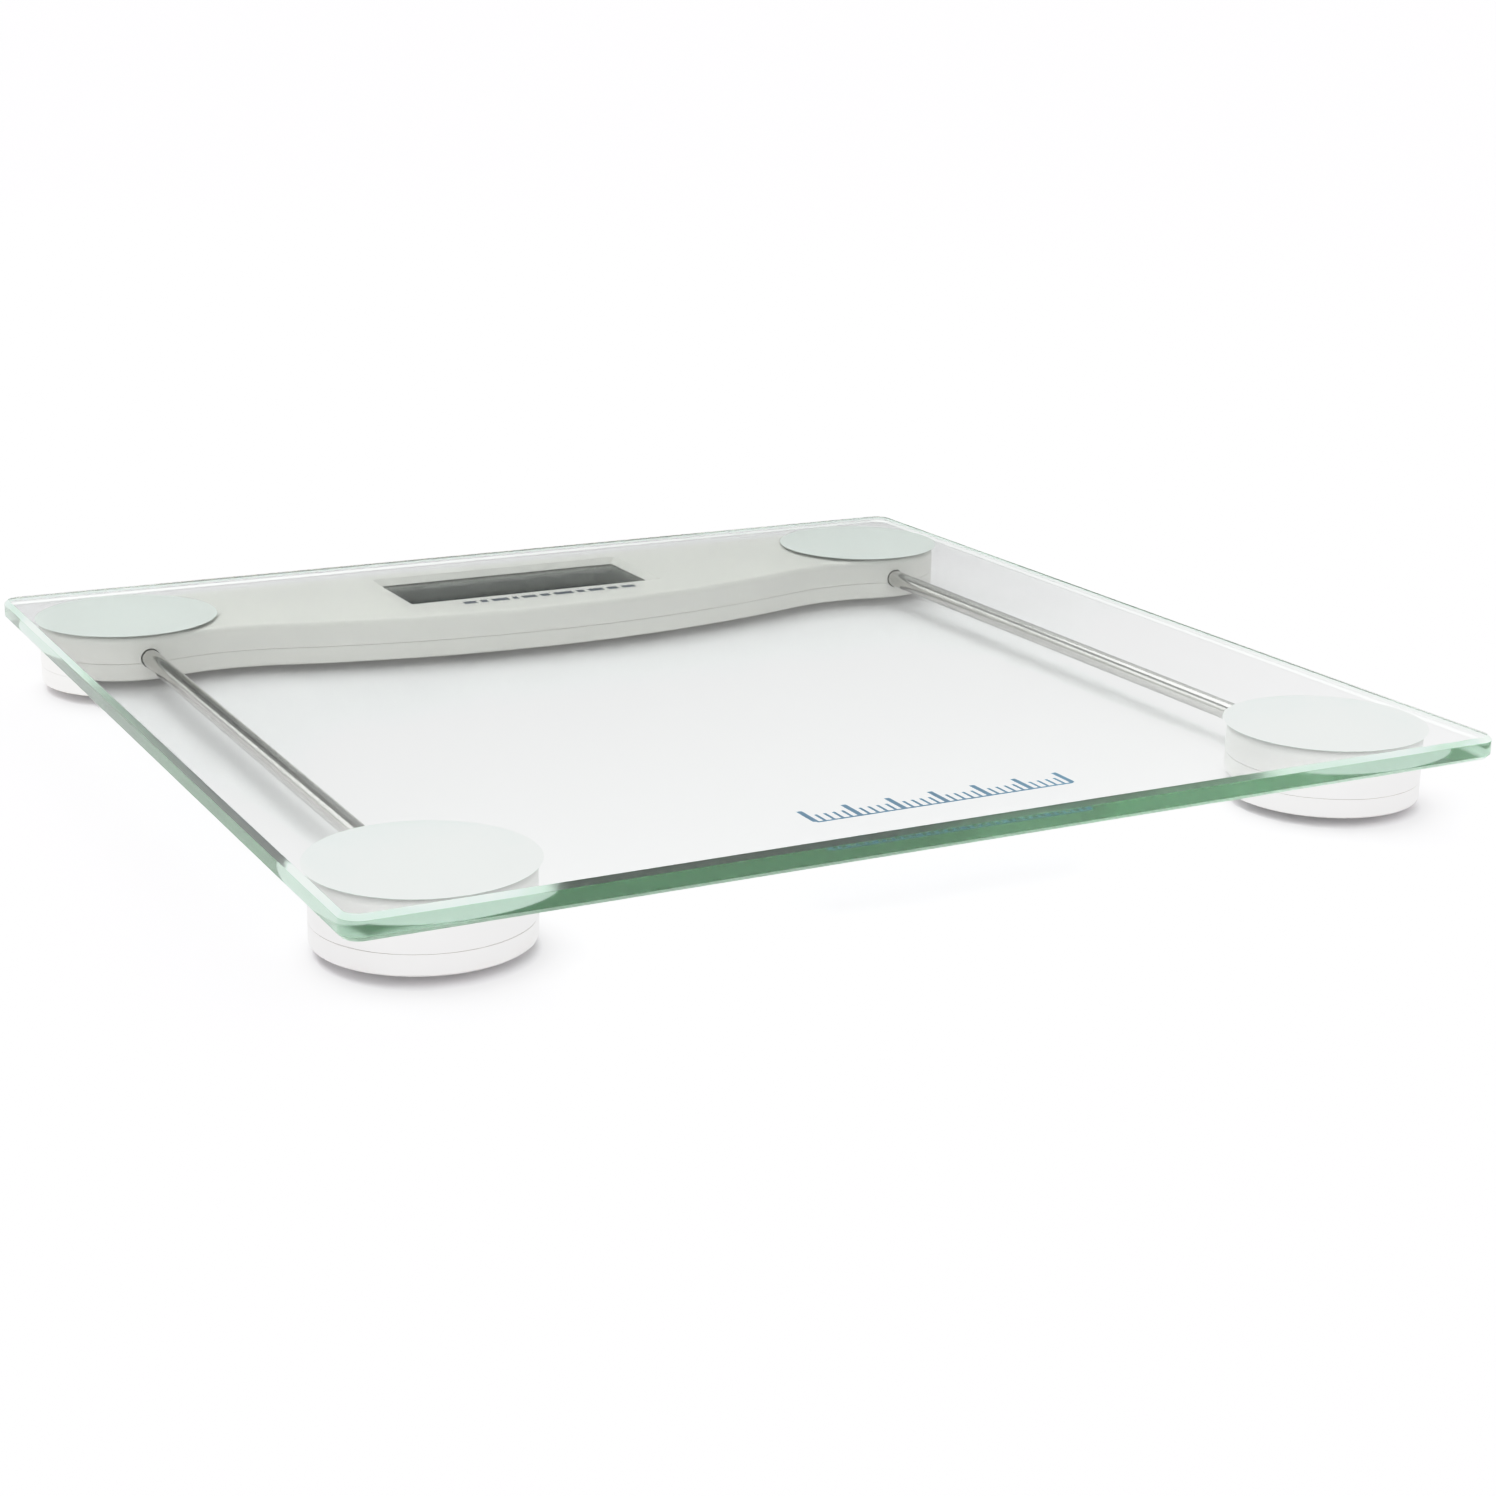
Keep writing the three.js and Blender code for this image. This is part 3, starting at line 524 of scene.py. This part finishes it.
MATERIALS = {
    "clear_glass": tempered_glass(),
    "frosted_print": speckled("frosted_print", PRINT_MINT, 0.55, 2600, 0.012, 0.004 * MM),
    "bond_foam": speckled("bond_foam", linear(236, 236, 230), 0.85, 1500, 0.05, 0.05 * MM),
    "housing_plastic": moulded_plastic("housing_plastic", HOUSING_GREY),
    "foot_plastic": moulded_plastic("foot_plastic", FOOT_WHITE),
    "foot_steel": brushed_metal("foot_steel", (0.6, 0.6, 0.58), 0.33, (1, 0.05, 1)),
    "foot_rubber": speckled("foot_rubber", linear(196, 197, 194), 0.8, 2400, 0.04, 0.02 * MM),
    "tube_steel": brushed_metal("tube_steel", TUBE_STEEL, 0.12, (1, 0.02, 1)),
    "cell_steel": brushed_metal("cell_steel", (0.5, 0.5, 0.49), 0.38, (0.02, 1, 1)),
    "gauge_film": speckled("gauge_film", linear(206, 150, 58), 0.4, 5200, 0.2),
    "cable_jacket": speckled("cable_jacket", linear(46, 46, 48), 0.55, 900, 0.1),
    "board_laminate": speckled("board_laminate", linear(34, 104, 68), 0.42, 700, 0.16),
    "display_glass": display_cell(),
    "lens_acrylic": clear_acrylic(),
    "connector_rubber": speckled("connector_rubber", linear(70, 68, 70), 0.7, 3000, 0.2),
    "chip_resin": speckled("chip_resin", linear(26, 26, 27), 0.35, 1200, 0.15, 0.03 * MM),
    "coin_steel": brushed_metal("coin_steel", (0.68, 0.67, 0.65), 0.3, (1, 0.05, 1)),
    "contact_steel": brushed_metal("contact_steel", (0.72, 0.7, 0.64), 0.28, (0.05, 1, 1)),
    "button_plastic": moulded_plastic("button_plastic", linear(190, 193, 190)),
    "screw_steel": brushed_metal("screw_steel", (0.5, 0.5, 0.5), 0.32, (1, 1, 0.1)),
}

# ------------------------------------------------------------ glass platform and its prints


def glass_platform():
    size = (GLASS_HIGH.x - GLASS_LOW.x, GLASS_HIGH.y - GLASS_LOW.y)
    outline = rounded_rectangle(size, GLASS_CORNER, steps=16)
    # An arris is a flat bevel whose two edges are a little soft.
    soft = 0.08 * MM
    bevel = [(GLASS_ARRIS + soft, 0), (GLASS_ARRIS - soft, soft / 2), (soft / 2, GLASS_ARRIS - soft)]
    bevel.append((0, GLASS_ARRIS + soft))
    levels = [(inset, GLASS_LOW.z + rise) for inset, rise in bevel]
    levels += [(inset, GLASS_HIGH.z - rise) for inset, rise in reversed(bevel)]
    made = solid("glass", stacked(outline, levels))
    finish_piece(made, MATERIALS["clear_glass"], "platform", "clear_glass", "glass_platform")


def frosted_disc(end, side):
    centre = at(end, side)
    radius = half_width(DISC_LOW, DISC_HIGH)
    top = GLASS_LOW.z + PRINT_DEPTH
    thin = 0.03 * MM
    profile = [(0, DISC_LOW.z), (radius - thin, DISC_LOW.z), (radius, DISC_LOW.z + thin)]
    profile += [(radius, top), (0, top)]
    made = solid(f"disc_{end}_{side}", turned(profile, centre))
    node = f"frosted_disc_{end}_{side}"
    finish_piece(made, MATERIALS["frosted_print"], "platform", "frosted_print", node)


def bonding_pad(end, side):
    centre = at(end, side)
    radius = half_width(PAD_LOW, PAD_HIGH)
    middle_level = (PAD_LOW.z + PAD_HIGH.z) / 2
    profile = [(0, PAD_LOW.z), (radius - 0.15 * MM, PAD_LOW.z), (radius, middle_level)]
    profile += [(radius - 0.15 * MM, PAD_HIGH.z), (0, PAD_HIGH.z)]
    made = solid(f"pad_{end}_{side}", turned(profile, centre))
    node = f"bonding_pad_{end}_{side}"
    finish_piece(made, MATERIALS["bond_foam"], "platform", "bond_foam", node)


def bars(name, spans, low, high):
    """One flat mesh of thin printed bars, each given by its (x low, x high, y low, y high)."""
    vertices, faces = [], []
    for x_low, x_high, y_low, y_high in spans:
        more_vertices, more_faces = block((x_low, y_low, low), (x_high, y_high, high))
        faces += [tuple(i + len(vertices) for i in face) for face in more_faces]
        vertices += more_vertices
    return solid(name, (vertices, faces))


def graduated_mark():
    """A plain graduated rule printed under the glass near its front edge."""
    count, group = 30, 5
    length, line = 70 * MM, 0.8 * MM
    base = GLASS_LOW.y + 17.2 * MM
    spans = [(-length / 2, length / 2, base, base + line)]
    for i in range(count + 1):
        x = -length / 2 + length * i / count
        height, width = (9 * MM, 1.5 * MM) if i % group == 0 else (5.4 * MM, 0.85 * MM)
        spans.append((x - width / 2, x + width / 2, base + line, base + height))
    low = GLASS_LOW.z - 0.01 * MM
    made = bars("graduated_mark", spans, low, GLASS_LOW.z + PRINT_DEPTH)
    finish_piece(made, blue_ink(), "platform", "frosted_print")


def capacity_dashes():
    """Plain dashes on the bar in front of the display, where such a scale has a line of small print."""
    # The lengths only have to be uneven.
    lengths = [4, 2.2, 5.4, 1.6, 4.6, 3, 6.2, 2.4, 5, 3.4, 4.4]
    gap, depth = 1.5 * MM, 2.9 * MM
    y = DISPLAY_Y - DISPLAY_OPENING[1] / 2 - 6.3 * MM
    x = -27 * MM
    spans = []
    for length in lengths:
        spans.append((x, x + length * MM, y, y + depth))
        x += length * MM + gap
    made = bars("capacity_dashes", spans, SHELL_TOP - 0.02 * MM, SHELL_TOP + 0.015 * MM)
    ink = speckled("grey_ink", linear(72, 82, 97), 0.5, 3000, 0.1, 0.002 * MM)
    finish_piece(made, ink, "platform", "housing_plastic")


# ------------------------------------------------------------ what the shells share


def tube_hole(x, end):
    """The hole that a tube enters, from well outside the wall to the tube's inner end."""
    inner = ENDS[end] * (TUBE_HIGH.y + 2 * MM)
    outer = inner - ENDS[end] * 12 * MM
    low, high = sorted((inner, outer))
    # Laying a shape down swaps its height for Y.
    return along_y(post((0, 0), TUBE_HOLE_RADIUS, low, high, 64), x, TUBE_LEVEL)


def screw_sizes(node):
    """The centre, head radius and levels of a screw, from its CAD node."""
    low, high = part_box(node)
    return middle(low, high), half_width(low, high), low.z, high.z


def standing_bosses(screws, boss_radius):
    """Posts on the floor of a lower shell, one over each screw's head."""
    return [post(screw_sizes(node)[0], boss_radius, SHELL_FLOOR - ROOT, PARTING) for node in screws]


def hanging_bosses(screws, shank):
    """Posts under the roof of an upper shell that take the screws' threads."""
    return [
        post(screw_sizes(node)[0], shank + SCREW_WALL, PARTING, SHELL_ROOF + ROOT)
        for node in screws
    ]


def screw_holes(screws, shank):
    """What a screw needs cut away: its shank's hole and its head's recess."""
    shapes = []
    for node in screws:
        centre, head, low, high = screw_sizes(node)
        shapes.append(post(centre, shank + 0.15 * MM, 0, high + 0.5 * MM, 24))
        shapes.append(post(centre, head + 0.3 * MM, 0, low + 1.2 * MM, 40))
    return shapes


def cell_pillars(centre, low, high):
    """Four posts that clamp a load cell's corners."""
    return [
        post((centre.x + i * PILLAR_REACH, centre.y + j * PILLAR_REACH), PILLAR_RADIUS, low, high, 24)
        for i in (-1, 1)
        for j in (-1, 1)
    ]


def upper_levels():
    """Outer (inset, height) levels of an upper shell, from the parting groove to its top."""
    groove = PARTING_GROOVE
    start = [(groove, PARTING), (groove * 0.35, PARTING + groove * 0.3), (0, PARTING + groove)]
    return start + rounded(0, SHELL_TOP, TOP_EDGE, 1)


def lower_levels():
    """Outer (inset, height) levels of a lower shell, from its bottom to the parting groove."""
    groove = PARTING_GROOVE
    end = [(0, PARTING - groove), (groove * 0.35, PARTING - groove * 0.3), (groove, PARTING)]
    return rounded(0, SHELL_BOTTOM, BOTTOM_EDGE, -1) + end


# ------------------------------------------------------------ front feet

FOOT_SHANK = 1 * MM
FOOT_BOSS = 2.4 * MM
BAR_SHANK = 1.2 * MM
BAR_BOSS = 3.8 * MM


def foot_screws(side):
    return [f"foot_screw_{side}_{i}" for i in (1, 2)]


def foot_upper_shell(side):
    centre = at("front", side)
    inner = HOUSING_RADIUS - WALL
    outside = [(HOUSING_RADIUS - inset, height) for inset, height in upper_levels()]
    profile = [(0, SHELL_ROOF), (inner, SHELL_ROOF), (inner, PARTING)] + outside + [(0, SHELL_TOP)]
    made = solid(f"foot_top_{side}", turned(profile, centre))
    join(made, hanging_bosses(foot_screws(side), FOOT_SHANK))
    join(made, cell_pillars(centre, CELL_HIGH.z, SHELL_ROOF + ROOT))
    cut(made, [tube_hole(centre.x, "front")])
    node = f"foot_upper_shell_{side}"
    finish_piece(made, MATERIALS["foot_plastic"], "platform", "foot_plastic", node)


def foot_lower_shell(side):
    centre = at("front", side)
    inner = HOUSING_RADIUS - WALL
    lip = 0.3 * MM
    outside = [(HOUSING_RADIUS - inset, height) for inset, height in lower_levels()]
    profile = [(FOOT_OPENING_RADIUS, SHELL_FLOOR), (FOOT_OPENING_RADIUS, SHELL_BOTTOM + lip)]
    profile += [(FOOT_OPENING_RADIUS + lip, SHELL_BOTTOM)] + outside
    profile += [(inner, PARTING), (inner, SHELL_FLOOR)]
    made = solid(f"foot_base_{side}", turned(profile, centre))
    join(made, standing_bosses(foot_screws(side), FOOT_BOSS))
    join(made, cell_pillars(centre, SHELL_FLOOR - ROOT, CELL_LOW.z))
    cut(made, [tube_hole(centre.x, "front")] + screw_holes(foot_screws(side), FOOT_SHANK))
    node = f"foot_lower_shell_{side}"
    finish_piece(made, MATERIALS["foot_plastic"], "platform", "foot_plastic", node)


# ------------------------------------------------------------ bar housing

BAR_SCREWS = [f"housing_screw_{i}" for i in range(1, 7)]
BAR_ENDS = [at("back", side) for side in SIDES]


def display_recess():
    """The display's window with its sloping sides and softly rounded rim."""

    def outline(inset):
        size = [length - 2 * inset for length in DISPLAY_OPENING]
        return rounded_rectangle(size, RECESS_CORNER, (0, DISPLAY_Y), 6)(0)

    rise = SHELL_TOP - SHELL_ROOF
    rim = 0.3 * MM
    levels = [(DISPLAY_SLOPE, SHELL_ROOF - 3 * MM), (DISPLAY_SLOPE, SHELL_ROOF + 0.02 * MM)]
    levels += [(rim, SHELL_TOP - rim * rise / DISPLAY_SLOPE), (rim * 0.4, SHELL_TOP - rim * 0.12)]
    levels += [(-rim * 0.3, SHELL_TOP + 0.001 * MM), (-rim * 0.3, SHELL_TOP + 1 * MM)]
    return stacked(outline, levels)


def lens_rim():
    """The wall under the roof that holds the lens in place."""
    gap, rim = 0.3 * MM, 1.2 * MM
    left, right = LENS_LOW.x - gap, LENS_HIGH.x + gap
    front, back = LENS_LOW.y - gap, LENS_HIGH.y + gap
    low, top = LENS_LOW.z - 2.2 * MM, SHELL_ROOF + ROOT
    return [
        block((left - rim, front - rim, low), (left, back + rim, top)),
        block((right, front - rim, low), (right + rim, back + rim, top)),
        block((left, front - rim, low), (right, front, top)),
        block((left, back, low), (right, back + rim, top)),
    ]


def bar_upper_cover():
    made = solid("bar_top", stacked(bar_outline, upper_levels()))
    cut(made, [stacked(bar_outline, [(WALL, PARTING - 1 * MM), (WALL, SHELL_ROOF)])])
    join(made, hanging_bosses(BAR_SCREWS, BAR_SHANK) + lens_rim())
    for place in BAR_ENDS:
        join(made, cell_pillars(place, CELL_HIGH.z, SHELL_ROOF + ROOT))
    cut(made, [display_recess()] + [tube_hole(place.x, "back") for place in BAR_ENDS])
    finish_piece(
        made, MATERIALS["housing_plastic"], "platform", "housing_plastic", "housing_upper_cover"
    )


def door_opening():
    low = (DOOR_LOW.x - DOOR_GAP, DOOR_LOW.y - DOOR_GAP, 0)
    high = (DOOR_HIGH.x + DOOR_GAP, DOOR_HIGH.y + DOOR_GAP, PARTING)
    return block(low, high)


def door_pocket_wall():
    reach = DOOR_GAP + 1.2 * MM
    low = (DOOR_LOW.x - reach, DOOR_LOW.y - reach, SHELL_FLOOR - ROOT)
    high = (DOOR_HIGH.x + reach, DOOR_HIGH.y + reach, PARTING - 0.4 * MM)
    return block(low, high)


def finger_notch():
    """A shallow scoop beside the door's free edge, for a fingertip."""
    radius, depth = 9 * MM, 0.8 * MM
    level = SHELL_BOTTOM + depth - radius
    profile = [(0, level)] + arc((0, level), radius, 0, 84, 14) + [(0, level + radius)]
    return turned(profile, (middle(DOOR_LOW, DOOR_HIGH).x, DOOR_LOW.y), 64)


def button_opening():
    centre = middle(BUTTON_LOW, BUTTON_HIGH)
    outline = rounded_rectangle((9.6 * MM, 6.6 * MM), 2.15 * MM, centre, 8)
    return stacked(outline, [(0, 0), (0, SHELL_FLOOR + 0.1 * MM)])


def bar_lower_cover():
    made = solid("bar_base", stacked(bar_outline, lower_levels()))
    cut(made, [stacked(bar_outline, [(WALL, SHELL_FLOOR), (WALL, PARTING + 1 * MM)])])
    inside = standing_bosses(BAR_SCREWS, BAR_BOSS) + [door_pocket_wall()]
    for place in BAR_ENDS:
        inside += cell_pillars(place, SHELL_FLOOR - ROOT, CELL_LOW.z)
    centre = middle(BOARD_LOW, BOARD_HIGH)
    reach = ((BOARD_HIGH.x - BOARD_LOW.x) / 2 - 4 * MM, (BOARD_HIGH.y - BOARD_LOW.y) / 2 - 3 * MM)
    for i in (-1, 1):
        for j in (-1, 1):
            place = (centre.x + i * reach[0], centre.y + j * reach[1])
            inside.append(post(place, 2 * MM, SHELL_FLOOR - ROOT, BOARD_LOW.z, 24))
    join(made, inside)
    openings = [door_opening(), finger_notch(), button_opening()]
    openings += [post(place, FOOT_OPENING_RADIUS, 0, SHELL_FLOOR + 0.1 * MM, 128) for place in BAR_ENDS]
    openings += [tube_hole(place.x, "back") for place in BAR_ENDS]
    cut(made, openings + screw_holes(BAR_SCREWS, BAR_SHANK))
    finish_piece(
        made, MATERIALS["housing_plastic"], "platform", "housing_plastic", "housing_lower_cover"
    )


# ------------------------------------------------------------ tubes, feet, screws


def cable_tube(side):
    x = SIDES[side] * SUPPORT_X
    inner = TUBE_RADIUS - TUBE_WALL
    edge = 0.12 * MM
    end = TUBE_HIGH.y
    outside = [(TUBE_RADIUS - edge, -end), (TUBE_RADIUS, -end + edge)]
    outside += [(TUBE_RADIUS, end - edge), (TUBE_RADIUS - edge, end)]
    inside = [(inner + edge, end), (inner, end - edge), (inner, -end + edge), (inner + edge, -end)]
    made = solid(f"tube_{side}", along_y(turned(outside + inside, steps=72), x, TUBE_LEVEL))
    finish_piece(made, MATERIALS["tube_steel"], "platform", "tube_steel", f"cable_tube_{side}")


def foot_cap(end, side):
    """The moving foot: a steel plate with a rounded rim, a hub and the pin that presses the cell."""
    centre = at(end, side)
    radius = half_width(CAP_LOW, CAP_HIGH)
    edge = 0.4 * MM
    plate_top = SHELL_FLOOR + 0.2 * MM
    shoulder = CELL_LOW.z - 1.1 * MM
    hub, pin = 6 * MM, 2.2 * MM
    rim = [(radius - inset, height) for inset, height in rounded(0, CAP_LOW.z, edge, -1, 4)]
    rim += [(radius - inset, height) for inset, height in rounded(0, plate_top, edge, 1, 4)]
    profile = [(0, CAP_LOW.z)] + rim + [(hub, plate_top), (hub, shoulder - edge)]
    profile += [(hub - edge, shoulder), (pin, shoulder), (pin, CAP_HIGH.z - edge)]
    profile += [(pin - edge, CAP_HIGH.z), (0, CAP_HIGH.z)]
    made = solid(f"foot_{end}_{side}", turned(profile, centre, 96))
    node = f"foot_cap_{end}_{side}"
    finish_piece(made, MATERIALS["foot_steel"], f"{end}_{side}_foot", "foot_steel", node)


def rubber_pad(end, side):
    """A rubber face with concentric grooves round a plain middle."""
    centre = at(end, side)
    radius = half_width(RUBBER_LOW, RUBBER_HIGH)
    groove, land = 0.9 * MM, 1.5 * MM
    depth = 0.35 * MM
    low, high = RUBBER_LOW.z, RUBBER_HIGH.z
    profile = [(0, low)]
    reach = 4 * MM
    while reach + groove + land < radius:
        profile += [(reach, low), (reach + 0.15 * MM, low + depth)]
        profile += [(reach + groove - 0.15 * MM, low + depth), (reach + groove, low)]
        reach += groove + land
    profile += [(radius - 0.3 * MM, low), (radius, low + 0.3 * MM), (radius, high), (0, high)]
    made = solid(f"rubber_{end}_{side}", turned(profile, centre, 96))
    node = f"rubber_pad_{end}_{side}"
    finish_piece(made, MATERIALS["foot_rubber"], f"{end}_{side}_foot", "foot_rubber", node)


def screw(node, shank):
    """A pan-head screw with a cross recess and the crests of its thread."""
    centre, head, low, high = screw_sizes(node)
    shoulder = low + (1.2 * MM if shank > FOOT_SHANK else 0.9 * MM)
    edge = 0.25 * MM
    profile = [(0, low), (head - 2 * edge, low), (head - edge * 0.4, low + edge * 0.5)]
    profile += [(head, low + 1.5 * edge), (head, shoulder), (shank, shoulder)]
    pitch, tip = 0.5 * MM, high - 1.2 * MM
    level = shoulder + 2 * pitch
    while level + pitch < tip:
        profile += [(shank * 0.82, level), (shank, level + pitch * 0.5)]
        level += pitch
    profile += [(shank * 0.82, tip), (0, high)]
    made = solid(node.replace("screw", "fastener"), turned(profile, centre, 40))
    reach, half = head * 0.6, 0.13 * head
    depth = low + 0.6 * MM
    arms = [
        block((centre.x - reach, centre.y - half, 0), (centre.x + reach, centre.y + half, depth)),
        block((centre.x - half, centre.y - reach, 0), (centre.x + half, centre.y + reach, depth)),
    ]
    cut(made, arms)
    finish_piece(made, MATERIALS["screw_steel"], "platform", "screw_steel", node)


# ------------------------------------------------------------ display


def slab(name, low, high, corner, edge, material, slot, node):
    """A flat plate with round corners and eased edges."""
    centre = middle(low, high)
    outline = rounded_rectangle((high.x - low.x, high.y - low.y), corner, centre, 8)
    levels = rounded(0, low.z, edge, -1, 3) + rounded(0, high.z, edge, 1, 3)
    made = solid(name, stacked(outline, levels))
    finish_piece(made, material, "platform", slot, node)


def display():
    lens, cell = MATERIALS["lens_acrylic"], MATERIALS["display_glass"]
    gap = 0.03 * MM
    lens_low = LENS_LOW + Vector((0, 0, gap))
    lens_high = LENS_HIGH - Vector((0, 0, gap))
    slab("window", lens_low, lens_high, 0.8 * MM, 0.1 * MM, lens, "lens_acrylic", "display_lens")
    slab("panel", LCD_LOW, LCD_HIGH, 0.4 * MM, 0.1 * MM, cell, "display_glass", "lcd_panel")


def coin_cell():
    centre = middle(COIN_LOW, COIN_HIGH)
    radius = half_width(COIN_LOW, COIN_HIGH)
    low, high = COIN_LOW.z, COIN_HIGH.z
    step, rim = 0.7 * MM, 0.35 * MM
    profile = [(0, low), (radius - rim, low), (radius - rim * 0.3, low + rim * 0.3)]
    profile += [(radius, low + rim), (radius, high - step - 0.1 * MM)]
    profile += [(radius - 0.1 * MM, high - step), (radius - 1 * MM, high - step)]
    profile += [(radius - 1.2 * MM, high - 0.1 * MM), (radius - 1.4 * MM, high), (0, high)]
    made = solid("coin", turned(profile, centre, 96))
    finish_piece(made, MATERIALS["coin_steel"], "platform", "coin_steel", "battery_cell")


# ------------------------------------------------------------ pieces that stay as they are


def dress_frame_nodes():
    """Every CAD node that still shows gets its slot's material, and all but the cables get eased edges.
    """
    slots = {part["node"]: part["material_slot"] for part in frame["record"]["subparts"]}
    for name, node in frame["nodes"].items():
        if node.hide_render:
            continue
        node.data.materials.clear()
        node.data.materials.append(MATERIALS[slots[name]])
        if not name.startswith(("front_cable", "back_cable")):
            bevel = node.modifiers.new("eased_edges", "BEVEL")
            bevel.width = 0.08 * MM
            bevel.segments = 2
            bevel.limit_method = "ANGLE"


# ------------------------------------------------------------ studio and camera


def floor():
    """A pale matt floor that glows a little, as a light table does, and reaches the horizon."""
    half, level = 80, -0.02 * MM
    corners = [(x * half, y * half, level) for x, y in ((-1, -1), (1, -1), (1, 1), (-1, 1))]
    made = solid("studio_floor", (corners, [(0, 1, 2, 3)]))
    material, _, shader = new_material("studio_floor")
    shader.inputs["Base Color"].default_value = (0.87, 0.855, 0.875, 1)
    shader.inputs["Emission Color"].default_value = (1, 1, 1, 1)
    shader.inputs["Emission Strength"].default_value = 0.07
    shader.inputs["Roughness"].default_value = 0.9
    shader.inputs["Specular IOR Level"].default_value = 0
    made.data.materials.append(material)


def sky():
    """A bright dome that is dark near the horizon, as a studio is past its soft boxes."""
    world = bpy.data.worlds.new("studio")
    world.use_nodes = True
    bpy.context.scene.world = world
    tree = world.node_tree
    direction = add_node(tree, "ShaderNodeTexCoord").outputs["Generated"]
    # The bright part reaches lower on the right.
    height = add_node(
        tree, "ShaderNodeVectorMath", {0: direction, 1: (0.35, 0, 1)}, operation="DOT_PRODUCT"
    )
    ramp = add_node(tree, "ShaderNodeValToRGB", {"Fac": height.outputs["Value"]})
    low, high = ramp.color_ramp.elements
    low.position, low.color = 0.38, (0.04, 0.04, 0.042, 1)
    high.position, high.color = 0.62, (1, 1, 1, 1)
    # A strip as bright as the floor hides the horizon.
    level = add_node(tree, "ShaderNodeSeparateXYZ", {"Vector": direction}).outputs["Z"]
    strip = add_node(tree, "ShaderNodeMapRange", {"Value": level, "From Min": 0.15, "From Max": 0.1})
    colour = add_node(
        tree,
        "ShaderNodeMix",
        {"Factor": strip.outputs["Result"], "A": ramp.outputs["Color"], "B": (1.25, 1.25, 1.25, 1)},
        data_type="RGBA",
    )
    background = tree.nodes["Background"]
    tree.links.new(colour.outputs["Result"], background.inputs["Color"])
    background.inputs["Strength"].default_value = 1.05


def soft_box(name, place, target, size, power):
    lamp = bpy.data.lights.new(name, "AREA")
    lamp.shape = "RECTANGLE"
    lamp.size, lamp.size_y = size
    lamp.energy = power
    holder = bpy.data.objects.new(name, lamp)
    holder.location = place
    holder.rotation_mode = "QUATERNION"
    holder.rotation_quaternion = (Vector(target) - Vector(place)).to_track_quat("-Z", "Y")
    bpy.context.scene.collection.objects.link(holder)


def soft_sun(name, towards, width, strength):
    """An even light from one direction, as wide in degrees as a big soft box is from the object."""
    lamp = bpy.data.lights.new(name, "SUN")
    lamp.angle = math.radians(width)
    lamp.energy = strength
    holder = bpy.data.objects.new(name, lamp)
    holder.rotation_mode = "QUATERNION"
    holder.rotation_quaternion = Vector(towards).to_track_quat("Z", "Y")
    bpy.context.scene.collection.objects.link(holder)


def camera():
    """The photograph's viewpoint: from the front left, a little above the platform."""
    yaw, pitch, roll = math.radians(28.04), math.radians(16.58), math.radians(0.84)
    lens = bpy.data.cameras.new("camera")
    lens.lens = 62.82
    lens.sensor_width = 36
    holder = bpy.data.objects.new("camera", lens)
    turn = Matrix.Rotation(-yaw, 4, "Z") @ Matrix.Rotation(math.pi / 2 - pitch, 4, "X")
    place = (-0.3127, -0.6233, GLASS_HIGH.z + 0.1827)
    holder.matrix_world = Matrix.Translation(place) @ turn @ Matrix.Rotation(roll, 4, "Z")
    bpy.context.scene.collection.objects.link(holder)
    bpy.context.scene.camera = holder


def light_paths():
    """Light that enters a glass edge is mirrored many times between its two faces."""
    cycles = bpy.context.scene.cycles
    cycles.max_bounces = 28
    cycles.glossy_bounces = 24
    cycles.transmission_bounces = 24
    cycles.transparent_max_bounces = 24


def soft_highlights():
    """Plain sRGB whose highlights roll off, so that white plastic keeps its shape on a white floor."""
    view = bpy.context.scene.view_settings
    view.view_transform = "Standard"
    view.use_curve_mapping = True
    curves = view.curve_mapping
    # The curve's right end stands for a light this many times white.
    brightest = 2
    curves.white_level = (brightest, brightest, brightest)
    combined = curves.curves[3]
    combined.points[1].location = (1, 1)
    for light, shown in ((0.84, 0.84), (1.1, 0.935), (1.35, 1)):
        combined.points.new(light / brightest, shown)
    for point in combined.points:
        point.handle_type = "VECTOR"
    curves.update()


# ------------------------------------------------------------ everything together

camera()
glass_platform()
for end, side in CORNERS:
    frosted_disc(end, side)
    bonding_pad(end, side)
    foot_cap(end, side)
    rubber_pad(end, side)
for side in SIDES:
    foot_upper_shell(side)
    foot_lower_shell(side)
    cable_tube(side)
    for node in foot_screws(side):
        screw(node, FOOT_SHANK)
bar_upper_cover()
bar_lower_cover()
for node in BAR_SCREWS:
    screw(node, BAR_SHANK)
display()
coin_cell()
graduated_mark()
capacity_dashes()
dress_frame_nodes()

floor()
sky()
soft_sun("overhead", (-0.04, 0.45, 0.85), 50, 1.8)
soft_sun("front_fill", (-0.55, -0.72, 0.42), 70, 1.2)
soft_box("back_card", (-0.71, 1.23, 0.49), (0, 0, 0), (0.6, 0.5), 2.2)
light_paths()
soft_highlights()
